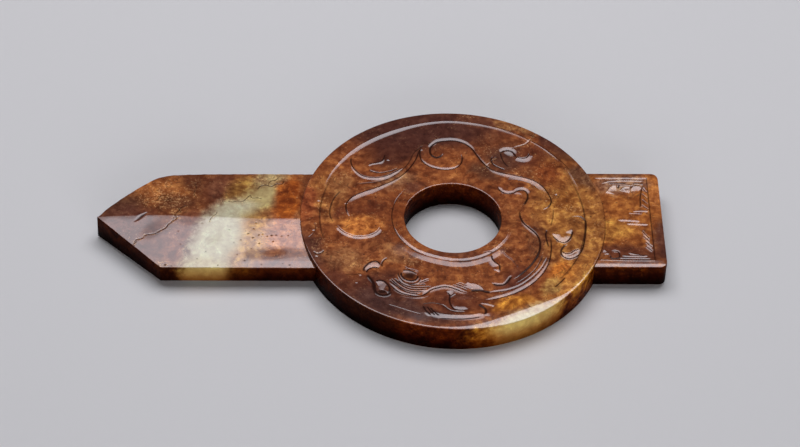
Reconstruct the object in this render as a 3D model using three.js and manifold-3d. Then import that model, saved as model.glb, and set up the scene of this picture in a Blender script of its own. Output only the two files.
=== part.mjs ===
// A gui-bi: a ceremonial gui tablet whose middle widens into a bi disc, all cut from one piece of
// mottled jade. A blade with a low median ridge and a pointed tip runs to -X, a plain rectangular
// butt with a sunk panel runs to +X, and the disc between them has a round hole, two raised rims and
// a sunk field with a hornless dragon and scrolls in low relief. The stone lies on the disc's back.
// The three meshes are regions of the one stone and meet face to face, with no gap between them.
// Lengths are millimetres, +Z is up, and the origin is under the middle of the overall length.
import * as THREE from "three";
import { mergeVertices } from "three/addons/utils/BufferGeometryUtils.js";
import Module from "manifold-3d";

// Driving dimensions of the disc
const discRadius = 55;
const discThickness = 10.6;
const holeRadius = 17.5;
const outerRimWidth = 5.6;
const holeRimWidth = 3.8;
const fieldDepth = 0.8;
const rimSlopeRun = 1.4;
const discEdgeRound = 0.5;

// Driving dimensions of the tablet, whose reaches are measured from the disc's axis
const tabletWidth = 47.6;
const tipReach = 127.8;
const shoulderReach = 104.5;
const buttReach = 75.8;
const bladeRidgeThickness = 9.6;
const bladeEdgeThickness = 6.8;
const buttThickness = 9.2;
const buttCornerRadius = 2.6;
const buttEdgeRound = 0.45;
const panelBorderWidth = 3.8;
const panelDepth = 0.5;

// Relief on the disc's field
const reliefHeight = 0.65;
const reliefSink = 0.3;

// How finely round forms are cut
const discSegments = 96;
const roundSegments = 4;
const bevelSegments = 2;
const ribbonSegments = 36;

// Extra length of a cutting tool past what it cuts
const overrun = 5;

const halfWidth = tabletWidth / 2;
const midHeight = discThickness / 2;
const discCentreX = (tipReach - buttReach) / 2;
const fieldHeight = discThickness - fieldDepth;

// Where each scroll and limb of the relief runs, as shares of the disc's radius from its axis
const scrollPathShares = {
  leftSweep: [
    [-0.69, 0.03], [-0.7, 0.13], [-0.64, 0.2], [-0.54, 0.265], [-0.44, 0.315],
    [-0.35, 0.38], [-0.27, 0.465], [-0.225, 0.555], [-0.19, 0.7],
  ],
  leftHook: [
    [-0.655, 0.58], [-0.66, 0.49], [-0.61, 0.42], [-0.54, 0.39], [-0.47, 0.39], [-0.4, 0.425], [-0.3, 0.5],
  ],
  leftComma: [[-0.55, 0.49], [-0.49, 0.48], [-0.43, 0.51], [-0.42, 0.57], [-0.44, 0.64]],
  topCurl: [[-0.19, 0.6], [-0.16, 0.51], [-0.08, 0.47], [0.01, 0.48], [0.065, 0.55], [0.07, 0.62]],
  topSweep: [
    [-0.09, 0.6], [-0.13, 0.65], [-0.12, 0.71], [-0.06, 0.75], [0.02, 0.755], [0.11, 0.71], [0.17, 0.62],
    [0.22, 0.52], [0.3, 0.44], [0.4, 0.405], [0.51, 0.375], [0.59, 0.31], [0.64, 0.22], [0.65, 0.13], [0.59, 0.09],
  ],
  rightComma: [[0.29, 0.52], [0.3, 0.6], [0.36, 0.66], [0.42, 0.63], [0.45, 0.58], [0.5, 0.57], [0.545, 0.62]],
  foldHook: [[0.31, 0.3], [0.35, 0.25], [0.42, 0.27], [0.48, 0.25], [0.5, 0.19], [0.46, 0.12]],
  rightHook: [
    [0.66, -0.14], [0.71, -0.2], [0.76, -0.17], [0.78, -0.1], [0.73, -0.25], [0.71, -0.31], [0.76, -0.35],
    [0.81, -0.31], [0.85, -0.2], [0.87, -0.08], [0.86, 0.0], [0.78, 0.04],
  ],
  leftPearl: [[-0.76, -0.06], [-0.71, -0.13], [-0.61, -0.18], [-0.52, -0.15], [-0.47, -0.07]],
  tail: [
    [0.61, -0.13], [0.62, -0.25], [0.59, -0.4], [0.52, -0.53], [0.42, -0.63], [0.3, -0.69], [0.16, -0.73],
  ],
  haunch: [[0.47, -0.02], [0.53, -0.12], [0.55, -0.25], [0.51, -0.38], [0.43, -0.49], [0.34, -0.56], [0.25, -0.6]],
  foreleg: [[-0.2, -0.78], [-0.14, -0.86], [0, -0.865], [0.14, -0.86], [0.19, -0.79], [0.15, -0.74]],
};

// The dragon's body and head, fuller than a scroll, as shares of the disc's radius
const dragonBodyShares = [
  [-0.42, -0.56], [-0.28, -0.585], [-0.14, -0.55], [0, -0.54], [0.13, -0.545], [0.26, -0.49], [0.36, -0.38],
  [0.42, -0.26], [0.44, -0.12], [0.42, 0.02], [0.41, 0.14], [0.42, 0.22],
];
const dragonHeadShares = [[-0.55, -0.4], [-0.51, -0.47], [-0.45, -0.54], [-0.4, -0.6], [-0.34, -0.64]];

// Half the widest width of each form, as shares of the disc's radius
const scrollHalfWidthShare = 0.018;
const bodyHalfWidthShare = 0.075;
const headHalfWidthShare = 0.11;
// A form's ends are this share of its widest width
const endWidthShare = 0.35;

const wasm = await Module();
wasm.setup();

// Turns a three.js geometry into a solid that can be cut and joined.
function solidFrom(geometry) {
  const bare = geometry.clone();
  bare.deleteAttribute("normal");
  bare.deleteAttribute("uv");
  const merged = mergeVertices(bare);
  const vertProperties = new Float32Array(merged.attributes.position.array);
  const triVerts = new Uint32Array(merged.index.array);
  return new wasm.Manifold(new wasm.Mesh({ numProp: 3, vertProperties, triVerts }));
}

// Turns a solid back into a three.js geometry with flat facets.
function geometryFrom(solid) {
  const mesh = solid.getMesh();
  const geometry = new THREE.BufferGeometry();
  geometry.setAttribute("position", new THREE.BufferAttribute(mesh.vertProperties, mesh.numProp));
  geometry.setIndex(new THREE.BufferAttribute(mesh.triVerts, 1));
  const faceted = geometry.toNonIndexed();
  faceted.computeVertexNormals();
  return faceted;
}

// A straight-sided solid over a plan outline, from one height to another.
function prism(outline, low, high) {
  const geometry = new THREE.ExtrudeGeometry(new THREE.Shape(outline), {
    depth: high - low,
    bevelEnabled: false,
  });
  geometry.translate(0, 0, low);
  return solidFrom(geometry);
}

// The disc's rim in plan, as the polygon that the disc itself is made with.
function rimOutline(radius) {
  return Array.from({ length: discSegments }, (_, i) => {
    const angle = (i / discSegments) * 2 * Math.PI;
    return new THREE.Vector2(radius * Math.sin(angle), radius * Math.cos(angle));
  });
}

// A quarter-round corner of a profile, from one angle to another about its centre.
function quarterRound(centreR, centreZ, radius, startAngle) {
  return Array.from({ length: roundSegments + 1 }, (_, i) => {
    const angle = startAngle + (i / roundSegments) * (Math.PI / 2);
    return new THREE.Vector2(centreR + radius * Math.cos(angle), centreZ + radius * Math.sin(angle));
  });
}

// The ring of the disc with its two rims and its sunk field, turned about the disc's axis.
function discRing() {
  const rimInner = discRadius - outerRimWidth;
  const holeRimOuter = holeRadius + holeRimWidth;
  const round = discEdgeRound;
  const profile = [
    ...quarterRound(discRadius - round, round, round, -Math.PI / 2),
    ...quarterRound(discRadius - round, discThickness - round, round, 0),
    new THREE.Vector2(rimInner, discThickness),
    new THREE.Vector2(rimInner - rimSlopeRun, fieldHeight),
    new THREE.Vector2(holeRimOuter + rimSlopeRun, fieldHeight),
    new THREE.Vector2(holeRimOuter, discThickness),
    ...quarterRound(holeRadius + round, discThickness - round, round, Math.PI / 2),
    ...quarterRound(holeRadius + round, round, round, Math.PI),
  ];
  profile.push(profile[0].clone());
  const geometry = new THREE.LatheGeometry(profile, discSegments);
  geometry.rotateX(Math.PI / 2);
  return solidFrom(geometry);
}

// A low band along a smooth path, widest in its middle, standing on the field.
function reliefBand(pathShares, halfWidthShare) {
  const path = new THREE.CatmullRomCurve3(
    pathShares.map(([x, y]) => new THREE.Vector3(x * discRadius, y * discRadius, 0)),
    false,
    "centripetal",
  );
  const sides = [[], []];
  for (let i = 0; i <= ribbonSegments; i += 1) {
    const along = i / ribbonSegments;
    const point = path.getPointAt(along);
    const tangent = path.getTangentAt(along);
    const fullness = endWidthShare + (1 - endWidthShare) * Math.sin(Math.PI * along);
    const reach = halfWidthShare * discRadius * fullness;
    const across = new THREE.Vector2(-tangent.y, tangent.x).multiplyScalar(reach);
    sides[0].push(new THREE.Vector2(point.x - across.x, point.y - across.y));
    sides[1].unshift(new THREE.Vector2(point.x + across.x, point.y + across.y));
  }
  return prism([...sides[0], ...sides[1]], fieldHeight - reliefSink, fieldHeight + reliefHeight);
}

// The disc with its relief, one closed solid about its own axis.
function makeDisc() {
  let disc = discRing();
  for (const pathShares of Object.values(scrollPathShares)) {
    disc = disc.add(reliefBand(pathShares, scrollHalfWidthShare));
  }
  disc = disc.add(reliefBand(dragonBodyShares, bodyHalfWidthShare));
  disc = disc.add(reliefBand(dragonHeadShares, headHalfWidthShare));
  return disc;
}

// The blade: a roof-shaped section on both faces, cut to a pointed plan and to the disc's rim.
function makeBlade() {
  const ridge = bladeRidgeThickness / 2;
  const edge = bladeEdgeThickness / 2;
  const section = new THREE.Shape([
    new THREE.Vector2(-halfWidth, -edge),
    new THREE.Vector2(0, -ridge),
    new THREE.Vector2(halfWidth, -edge),
    new THREE.Vector2(halfWidth, edge),
    new THREE.Vector2(0, ridge),
    new THREE.Vector2(-halfWidth, edge),
  ]);
  // The section is drawn across the blade and extruded along it, so that its X becomes the blade's Y.
  const bar = new THREE.ExtrudeGeometry(section, { depth: tipReach, bevelEnabled: false });
  bar.rotateX(Math.PI / 2);
  bar.rotateZ(-Math.PI / 2);
  bar.translate(0, 0, midHeight);
  const outline = [
    new THREE.Vector2(0, -halfWidth),
    new THREE.Vector2(0, halfWidth),
    new THREE.Vector2(-shoulderReach, halfWidth),
    new THREE.Vector2(-tipReach, 0),
    new THREE.Vector2(-shoulderReach, -halfWidth),
  ];
  const pointed = solidFrom(bar).intersect(prism(outline, -overrun, discThickness + overrun));
  return pointed.subtract(prism(rimOutline(discRadius), -overrun, discThickness + overrun));
}

// The butt: a slab with two rounded corners, soft edges and a sunk panel that opens to the disc.
function makeButt() {
  const round = buttEdgeRound;
  const right = buttReach - round;
  const side = halfWidth - round;
  const corner = buttCornerRadius - round;
  const outline = new THREE.Shape();
  outline.moveTo(0, -side);
  outline.lineTo(right - corner, -side);
  outline.absarc(right - corner, -side + corner, corner, -Math.PI / 2, 0, false);
  outline.absarc(right - corner, side - corner, corner, 0, Math.PI / 2, false);
  outline.lineTo(0, side);
  const slab = new THREE.ExtrudeGeometry(outline, {
    depth: buttThickness - 2 * round,
    bevelEnabled: true,
    bevelSize: round,
    bevelThickness: round,
    bevelSegments,
    curveSegments: roundSegments,
  });
  slab.translate(0, 0, midHeight - buttThickness / 2 + round);
  const panelHalf = halfWidth - panelBorderWidth;
  const panelEnd = buttReach - panelBorderWidth;
  const topHeight = midHeight + buttThickness / 2;
  const panel = [
    new THREE.Vector2(0, -panelHalf),
    new THREE.Vector2(panelEnd, -panelHalf),
    new THREE.Vector2(panelEnd, panelHalf),
    new THREE.Vector2(0, panelHalf),
  ];
  return solidFrom(slab)
    .subtract(prism(panel, topHeight - panelDepth, topHeight + overrun))
    .subtract(prism(rimOutline(discRadius), -overrun, discThickness + overrun));
}

const russetJade = new THREE.MeshStandardMaterial({ color: 0x8a4a20, roughness: 0.22, metalness: 0 });
const paleJade = new THREE.MeshStandardMaterial({ color: 0xa98f5f, roughness: 0.22, metalness: 0 });

const stone = new THREE.Group();
stone.position.set(discCentreX, 0, 0);
const regions = [
  ["gui_blade", makeBlade(), paleJade],
  ["bi_disc", makeDisc(), russetJade],
  ["gui_butt", makeButt(), russetJade],
];
for (const [name, solid, material] of regions) {
  const mesh = new THREE.Mesh(geometryFrom(solid), material);
  mesh.name = name;
  stone.add(mesh);
}

export default stone;
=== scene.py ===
"""Looks of a gui-bi: a pointed gui tablet that widens into a pierced bi disc, cut from one mottled jade.

The stone is dressed region by region. Each region is a closed solid. Its carved face is worked out as a
height over the plan, in mm from the disc's axis, and placed in metres where the frame's node stands.
"""

import logging
import math
from dataclasses import dataclass, replace
from enum import Enum

import bpy
import numpy as np
from mathutils import Matrix, Vector

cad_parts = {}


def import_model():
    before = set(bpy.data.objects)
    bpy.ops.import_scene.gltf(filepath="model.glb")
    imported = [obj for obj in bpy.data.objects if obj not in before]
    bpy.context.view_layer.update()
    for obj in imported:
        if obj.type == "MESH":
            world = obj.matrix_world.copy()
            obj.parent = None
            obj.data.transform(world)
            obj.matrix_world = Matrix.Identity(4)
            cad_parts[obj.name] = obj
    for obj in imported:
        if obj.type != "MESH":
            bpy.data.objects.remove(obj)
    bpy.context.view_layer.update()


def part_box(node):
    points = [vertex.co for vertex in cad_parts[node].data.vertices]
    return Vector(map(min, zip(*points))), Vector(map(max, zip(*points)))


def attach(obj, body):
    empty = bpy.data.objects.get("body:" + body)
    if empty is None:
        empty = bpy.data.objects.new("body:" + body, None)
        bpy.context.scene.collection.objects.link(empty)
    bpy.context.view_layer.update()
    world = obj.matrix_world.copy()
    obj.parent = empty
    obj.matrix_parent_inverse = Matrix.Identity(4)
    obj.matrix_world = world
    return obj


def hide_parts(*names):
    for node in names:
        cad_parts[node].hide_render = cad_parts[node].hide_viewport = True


LOG = logging.getLogger("gui_bi")
MM = 0.001
QUARTER = math.pi / 2.0

Point = tuple[float, float]
Path = tuple[Point, ...]
Colour = tuple[float, float, float]
# The ground beside a carved line: its rise at the line, and the width over which it dies away, in mm.
Flank = tuple[float, float]
# A height in mm, and along one more axis the dirt with painted shade and the pale crust, both from 0 to 1.
Face = tuple[np.ndarray, np.ndarray]


def smoothstep(value: np.ndarray) -> np.ndarray:
    """Zero below 0, one above 1, and 3t squared less 2t cubed between."""
    t = np.clip(value, 0.0, 1.0)
    return t * t * (3.0 - 2.0 * t)


def smooth_path(points: Path, per_span: int = 7) -> np.ndarray:
    """Runs a smooth curve through given points.

    Each span is a cubic Hermite curve. The tangent at a point weighs the slopes of its two chords by the
    length of the other chord, so that short spans don't overshoot.

    Args:
        points: the points, in order.
        per_span: how many steps each span takes.

    Returns:
        The curve's points, one row each.
    """
    knots = np.asarray(points, float)
    step = np.diff(knots, axis=0)
    chord = np.linalg.norm(step, axis=1)[:, None]
    slope = step / chord
    tangent = np.empty_like(knots)
    tangent[1:-1] = (slope[:-1] * chord[1:] + slope[1:] * chord[:-1]) / (chord[:-1] + chord[1:])
    tangent[0] = 1.5 * slope[0] - 0.5 * (tangent[1] if len(knots) > 2 else slope[0])
    tangent[-1] = 1.5 * slope[-1] - 0.5 * (tangent[-2] if len(knots) > 2 else slope[-1])
    t = (np.arange(per_span) / per_span)[None, :, None]
    start, end = knots[:-1, None], knots[1:, None]
    out, into = (tangent[:-1] * chord)[:, None], (tangent[1:] * chord)[:, None]
    curve = (
        start * (2 * t**3 - 3 * t**2 + 1)
        + out * (t**3 - 2 * t**2 + t)
        + end * (3 * t**2 - 2 * t**3)
        + into * (t**3 - t**2)
    )
    return np.vstack([curve.reshape(-1, 2), knots[-1:]])


def oval(x: np.ndarray, y: np.ndarray, centre: Point, radii: Point, turn: float) -> tuple[np.ndarray, ...]:
    """Finds points in an oval's own frame, where its edge is the circle of radius 1.

    Args:
        x: the points' first coordinates.
        y: the points' second coordinates.
        centre: the oval's centre.
        radii: its two half lengths.
        turn: the angle in degrees from the first axis to its first half length.

    Returns:
        The points' two coordinates in that frame.
    """
    angle = math.radians(turn)
    dx, dy = x - centre[0], y - centre[1]
    u = (dx * math.cos(angle) + dy * math.sin(angle)) / radii[0]
    v = (dy * math.cos(angle) - dx * math.sin(angle)) / radii[1]
    return u, v


@dataclass(frozen=True)
class Line:
    """A carved line, with a slope of its own on each side. Left and right are as seen along the path.

    Its edge is the width over which the two slopes change over, and its fade the share of the length over
    which it dies away at the start and at the end.
    """

    path: Path
    left: Flank = (0.0, 1.0)
    right: Flank = (0.0, 1.0)
    # How dark the line is painted along its cut: dirt and painted shade.
    stain: float = 0.5
    edge: float = 0.3
    fade: Point = (0.14, 0.14)
    crust: float = 0.0
    bulge: float = 0.6
    end_width: float = 0.45
    dirt_and_shade_spread: float = 1.15
    crust_spread: float = 0.8

    def reach(self) -> float:
        """How far from the path's points the line is felt, with the bulge of the curve between them."""
        return max(self.left[1], self.right[1], 2.0 * self.edge) + self.edge + self.bulge

    def trace(self, x: np.ndarray, y: np.ndarray) -> tuple[np.ndarray, np.ndarray]:
        """Finds where points lie beside the path.

        Args:
            x: the points' first coordinates.
            y: the points' second coordinates.

        Returns:
            The distance across, positive on the left, and the share of the length along.
        """
        curve = smooth_path(self.path).astype(np.float32)
        leg = np.diff(curve, axis=0)
        length = np.linalg.norm(leg, axis=1)
        run = np.concatenate([[0.0], np.cumsum(length)])
        px = x[:, None] - curve[None, :-1, 0]
        py = y[:, None] - curve[None, :-1, 1]
        t = np.clip((px * leg[:, 0] + py * leg[:, 1]) / (length**2), 0.0, 1.0)
        gap = (px - t * leg[:, 0]) ** 2 + (py - t * leg[:, 1]) ** 2
        near = np.argmin(gap, axis=1)
        row = np.arange(len(x))
        side = leg[near, 0] * py[row, near] - leg[near, 1] * px[row, near]
        across = np.sqrt(gap[row, near]) * np.where(side < 0.0, -1.0, 1.0)
        along = (run[near] + t[row, near] * length[near]) / run[-1]
        return across, along

    def carve(self, x: np.ndarray, y: np.ndarray) -> Face:
        """Works out the line's relief.

        Each flank's height is its rise times the square of one less the distance over its width, which
        narrows towards the path's ends. The dirt with painted shade, and the crust, are bell curves across
        the line.

        Args:
            x: the points' first coordinates.
            y: the points' second coordinates.

        Returns:
            The height, the dirt with painted shade in the line, and the crust beside it.
        """
        across, along = self.trace(x, y)
        start, end = self.fade
        life = smoothstep(along / start) * smoothstep((1.0 - along) / end)
        narrow = self.end_width + (1.0 - self.end_width) * life
        left, right = (
            rise * np.clip(1.0 - np.maximum(off, 0.0) / (width * narrow), 0.0, 1.0) ** 2
            for (rise, width), off in ((self.left, across), (self.right, -across))
        )
        over = smoothstep(across / self.edge + 0.5)
        # The darkening along the cut is dirt and painted shade.
        dirt_and_shade = self.stain * life * np.exp(-((across / (self.dirt_and_shade_spread * self.edge)) ** 2))
        crust = self.crust * life * np.exp(-((across / self.crust_spread) ** 2))
        return life * (over * left + (1.0 - over) * right), np.stack([dirt_and_shade, crust], axis=-1)


@dataclass(frozen=True)
class Boss:
    """An oval swelling, or a hollow where its rise is negative, with its own dirt and painted shade, and
    crust.
    """

    centre: Point
    radii: Point
    rise: float = 0.0
    turn: float = 0.0
    # How dark the swelling or hollow is painted: dirt and painted shade.
    dirt_and_shade: float = 0.0
    crust: float = 0.0

    @property
    def path(self) -> Path:
        """The centre alone, in the form of a line's path."""
        return (self.centre,)

    def reach(self) -> float:
        """How far from the centre the swelling is felt."""
        return max(self.radii)

    def carve(self, x: np.ndarray, y: np.ndarray) -> Face:
        """Works out the swelling: its rise times one less the squared oval distance.

        Args:
            x: the points' first coordinates.
            y: the points' second coordinates.

        Returns:
            The height, and the dirt with painted shade and the crust, which fall off with the square root of
            that share.
        """
        u, v = oval(x, y, self.centre, self.radii, self.turn)
        inside = np.clip(1.0 - u * u - v * v, 0.0, 1.0)
        return self.rise * inside, np.stack([self.dirt_and_shade * inside**0.5, self.crust * inside**0.5], axis=-1)


def carve(marks: tuple[Line | Boss, ...], x: np.ndarray, y: np.ndarray) -> Face:
    """Adds up the relief of a face's marks, and keeps their strongest dirt with painted shade, and crust.

    Args:
        marks: the carved lines and swellings.
        x: the points' first coordinates, in an array of any shape.
        y: the points' second coordinates.

    Returns:
        The height in an array of the same shape, and the dirt with painted shade and the crust.
    """
    fx, fy = x.ravel().astype(np.float32), y.ravel().astype(np.float32)
    height, grime_and_shade = np.zeros_like(fx), np.zeros((len(fx), 2), np.float32)
    for mark in marks:
        spots = np.asarray(mark.path, float)
        low, high = spots.min(0) - mark.reach(), spots.max(0) + mark.reach()
        inside = np.flatnonzero((fx > low[0]) & (fx < high[0]) & (fy > low[1]) & (fy < high[1]))
        if inside.size:
            rise, traces = mark.carve(fx[inside], fy[inside])
            height[inside] += rise
            grime_and_shade[inside] = np.maximum(grime_and_shade[inside], traces)
    return height.reshape(x.shape), grime_and_shade.reshape(*x.shape, 2)


def crack(path: Path, width: float, depth: float) -> Line:
    """A natural fissure: a narrow V-shaped line, with the pale crust that grows along it."""
    flank = (-depth, width)
    return Line(path, flank, flank, stain=0.8, edge=width, fade=(0.05, 0.05), crust=0.9)


# The waves of hand grinding: radians per mm along x and along y, the phase, and the share of the depth.
WAVES = ((0.31, 0.17, 0.4, 1.0), (-0.21, 0.36, 1.9, 0.8), (0.52, -0.24, 4.1, 0.5))


def waver(x: np.ndarray, y: np.ndarray, depth: float) -> np.ndarray:
    """The slow unevenness that hand grinding leaves: three crossing sine waves, 11 to 18 mm long."""
    return depth * sum(share * np.sin(a * x + b * y + phase) for a, b, phase, share in WAVES)


class Solids:
    """Turns arrays of points into closed meshes."""

    SHARP_ANGLE = 62.0

    @staticmethod
    def quads(first: np.ndarray, second: np.ndarray) -> np.ndarray:
        """Joins two equal rows of point numbers into a strip of quads, wound from the first to the second."""
        return np.stack([first[:-1], first[1:], second[1:], second[:-1]], axis=1)

    @staticmethod
    def sheet(numbers: np.ndarray) -> np.ndarray:
        """Joins a grid of point numbers into quads, wound from the rows' direction to the columns'."""
        corners = [numbers[:-1, :-1], numbers[1:, :-1], numbers[1:, 1:], numbers[:-1, 1:]]
        return np.stack(corners, axis=-1).reshape(-1, 4)

    @staticmethod
    def mesh(name: str, points: np.ndarray, quads: np.ndarray, caps: list[np.ndarray]) -> bpy.types.Object:
        """Makes an object of quads and a few larger flat faces.

        Args:
            name: the object's name.
            points: one row of three coordinates in metres for each point.
            quads: one row of four point numbers for each quad.
            caps: the point numbers of each larger face.

        Returns:
            The object, smooth but for its sharp corners.
        """
        mesh = bpy.data.meshes.new(name)
        mesh.vertices.add(len(points))
        mesh.vertices.foreach_set("co", points.astype(np.float32).ravel())
        corners = np.concatenate([quads.ravel(), *caps]).astype(np.int32)
        totals = np.concatenate([np.full(len(quads), 4), [len(cap) for cap in caps]])
        starts = np.concatenate([[0], np.cumsum(totals)[:-1]]).astype(np.int32)
        mesh.loops.add(len(corners))
        mesh.loops.foreach_set("vertex_index", corners)
        mesh.polygons.add(len(starts))
        mesh.polygons.foreach_set("loop_start", starts)
        mesh.polygons.foreach_set("use_smooth", np.ones(len(starts), bool))
        mesh.update(calc_edges=True)
        mesh.validate()
        mesh.set_sharp_from_angle(angle=math.radians(Solids.SHARP_ANGLE))
        piece = bpy.data.objects.new(name, mesh)
        bpy.context.scene.collection.objects.link(piece)
        return piece

    @staticmethod
    def paint(piece: bpy.types.Object, grime_and_shade: np.ndarray) -> None:
        """Stores each point's dirt with painted shade, and its crust, under the names that the materials
        read.
        """
        for name, values in zip(("dirt_and_shade", "crust"), grime_and_shade.T):
            layer = piece.data.attributes.new(name, "FLOAT", "POINT")
            layer.data.foreach_set("value", np.ascontiguousarray(values, np.float32))


class Relief:
    """The carving and the flaws of every upper face, read off the stone in mm from the disc's axis."""

    # The two cloud scrolls of the upper half and the pearl under the left one.
    SCROLLS = (
        Line(((-36.6, -0.2), (-38.2, 3.1), (-38.3, 6.8), (-36.6, 10), (-33.2, 12.6), (-28.6, 14.7),
              (-24.8, 16.7), (-20.8, 19.2), (-17.2, 22.4), (-14.2, 26.8), (-12.3, 30.9), (-11.2, 34.5),
              (-9.4, 37.8)), left=(-0.05, 0.5), right=(0.24, 3.0), stain=0.95, fade=(0.1, 0.06)),
        Line(((-35.5, 17.1), (-32, 17.6), (-28, 18.2), (-24.5, 19.2), (-21, 21.4), (-17.6, 24.9)),
              left=(-0.06, 1.5), right=(-0.06, 0.4), stain=0.7),
        Line(((-35.8, 32.5), (-36.3, 28.1), (-34.6, 24.2), (-31.8, 21.4), (-28, 20.6), (-24.5, 21.2),
              (-20, 23.9), (-16.6, 26.8)), left=(-0.1, 0.5), right=(0.2, 1.6), stain=0.9, fade=(0.1, 0.1)),
        Line(((-30.4, 26.8), (-29, 27.9), (-27, 28.4), (-25.2, 29.2), (-24.2, 30.9), (-23.8, 33.5)),
              left=(-0.05, 0.5), right=(0.2, 1.6), stain=0.8),
        Line(((-30.2, 25.2), (-28.6, 23.8), (-26, 23.2), (-22.5, 23.9), (-18.5, 26.1)), left=(-0.1, 0.5),
              right=(0.05, 0.6), stain=0.8),
        Line(((-10.4, 36.5), (-11, 32.8), (-10.3, 29.6), (-8, 26.9), (-5, 25.4), (-1.5, 24.8), (1.8, 25.7),
              (3.8, 27.9), (4.5, 30.6), (3.9, 34.5)), left=(-0.26, 1.8), right=(-0.05, 0.4), stain=1.0,
              fade=(0.06, 0.14)),
        Line(((-2.4, 34.1), (-3.3, 32.2), (-4.8, 31.4), (-6.5, 32.4), (-7.2, 34.8), (-6.8, 37.1),
              (-4.8, 39.3), (-1.5, 40.2), (2.4, 40.2), (5.4, 39), (7.8, 36.8), (10, 32.5), (12.2, 28.4),
              (15, 24.9)), left=(-0.24, 2.1), right=(0.05, 0.7), stain=1.0, edge=0.4, fade=(0.06, 0.05)),
        Line(((12.4, 27.9), (15, 24.9), (18.5, 23.4), (23, 22.2), (27, 20.9), (30.8, 18.9), (33.6, 15.8),
              (35.3, 12), (36, 8.4), (35, 6), (32.2, 4.3)), left=(-0.08, 0.5), right=(0.27, 3.6), stain=1.0,
              fade=(0.05, 0.12)),
        Line(((20, 20.2), (24, 19.9), (27.5, 18.7), (30.6, 16.6), (32.6, 13.8)), right=(-0.06, 0.5)),
        Line(((36.6, 5.2), (36.1, 0.2), (35, -4.3)), left=(-0.07, 0.4), right=(-0.07, 0.4), stain=0.6),
        Line(((18, 32.2), (18.6, 34), (20, 35.1), (21.9, 35.3), (23.4, 34.3), (24.1, 32.6), (24.4, 31)),
              left=(-0.26, 2.2), right=(-0.08, 0.6), stain=0.85, edge=0.4, fade=(0.26, 0.14)),
        Line(((24.3, 32.3), (25.1, 31.5), (26.6, 31.1), (28, 31.3), (28.9, 32.2), (29.4, 34)),
              left=(-0.1, 0.7), right=(0.27, 2.9), stain=0.85),
        Line(((29.9, 31.6), (30.6, 34.1), (30.3, 36.9)), right=(0.07, 0.5), stain=0.4),
        Line(((18.7, 34.5), (19, 31.6), (20.1, 28.6), (21.8, 26.4)), left=(-0.1, 0.5), right=(-0.06, 0.4),
              stain=0.9),
        Line(((15.9, 32.5), (15.1, 30.2), (15.8, 27.9), (17.8, 26.2), (20.4, 24.9)), left=(-0.12, 0.6),
              right=(-0.06, 0.4), stain=0.9),
        Line(((-42.4, -2.9), (-40.9, -5.6), (-38.4, -8), (-35.6, -9.3), (-32.5, -9.5), (-29.5, -8.7),
              (-27, -6.6), (-25.9, -3.6)), left=(-0.1, 0.7), right=(0.18, 1.5), stain=0.6, edge=0.24,
              fade=(0.12, 0.12)),
        Line(((-39.5, 14.5), (-42.4, 10.4), (-44, 5.6), (-44.2, 1), (-43, -2.6)), left=(-0.05, 0.6),
              right=(0.04, 0.6), stain=0.75),
        Line(((-8.4, 38.4), (-10.6, 36.8), (-13.2, 33.6), (-14.8, 29.4), (-17, 25.6), (-20.2, 22.4)),
              left=(-0.05, 0.5), right=(-0.06, 0.7), stain=0.7),
        Line(((13, 49), (20, 46.4), (27, 42.6), (33, 38), (38, 32.8), (42.4, 27), (44.8, 22)),
              left=(-0.03, 0.4), right=(0.06, 0.6), stain=0.7, edge=0.24),
    )
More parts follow.
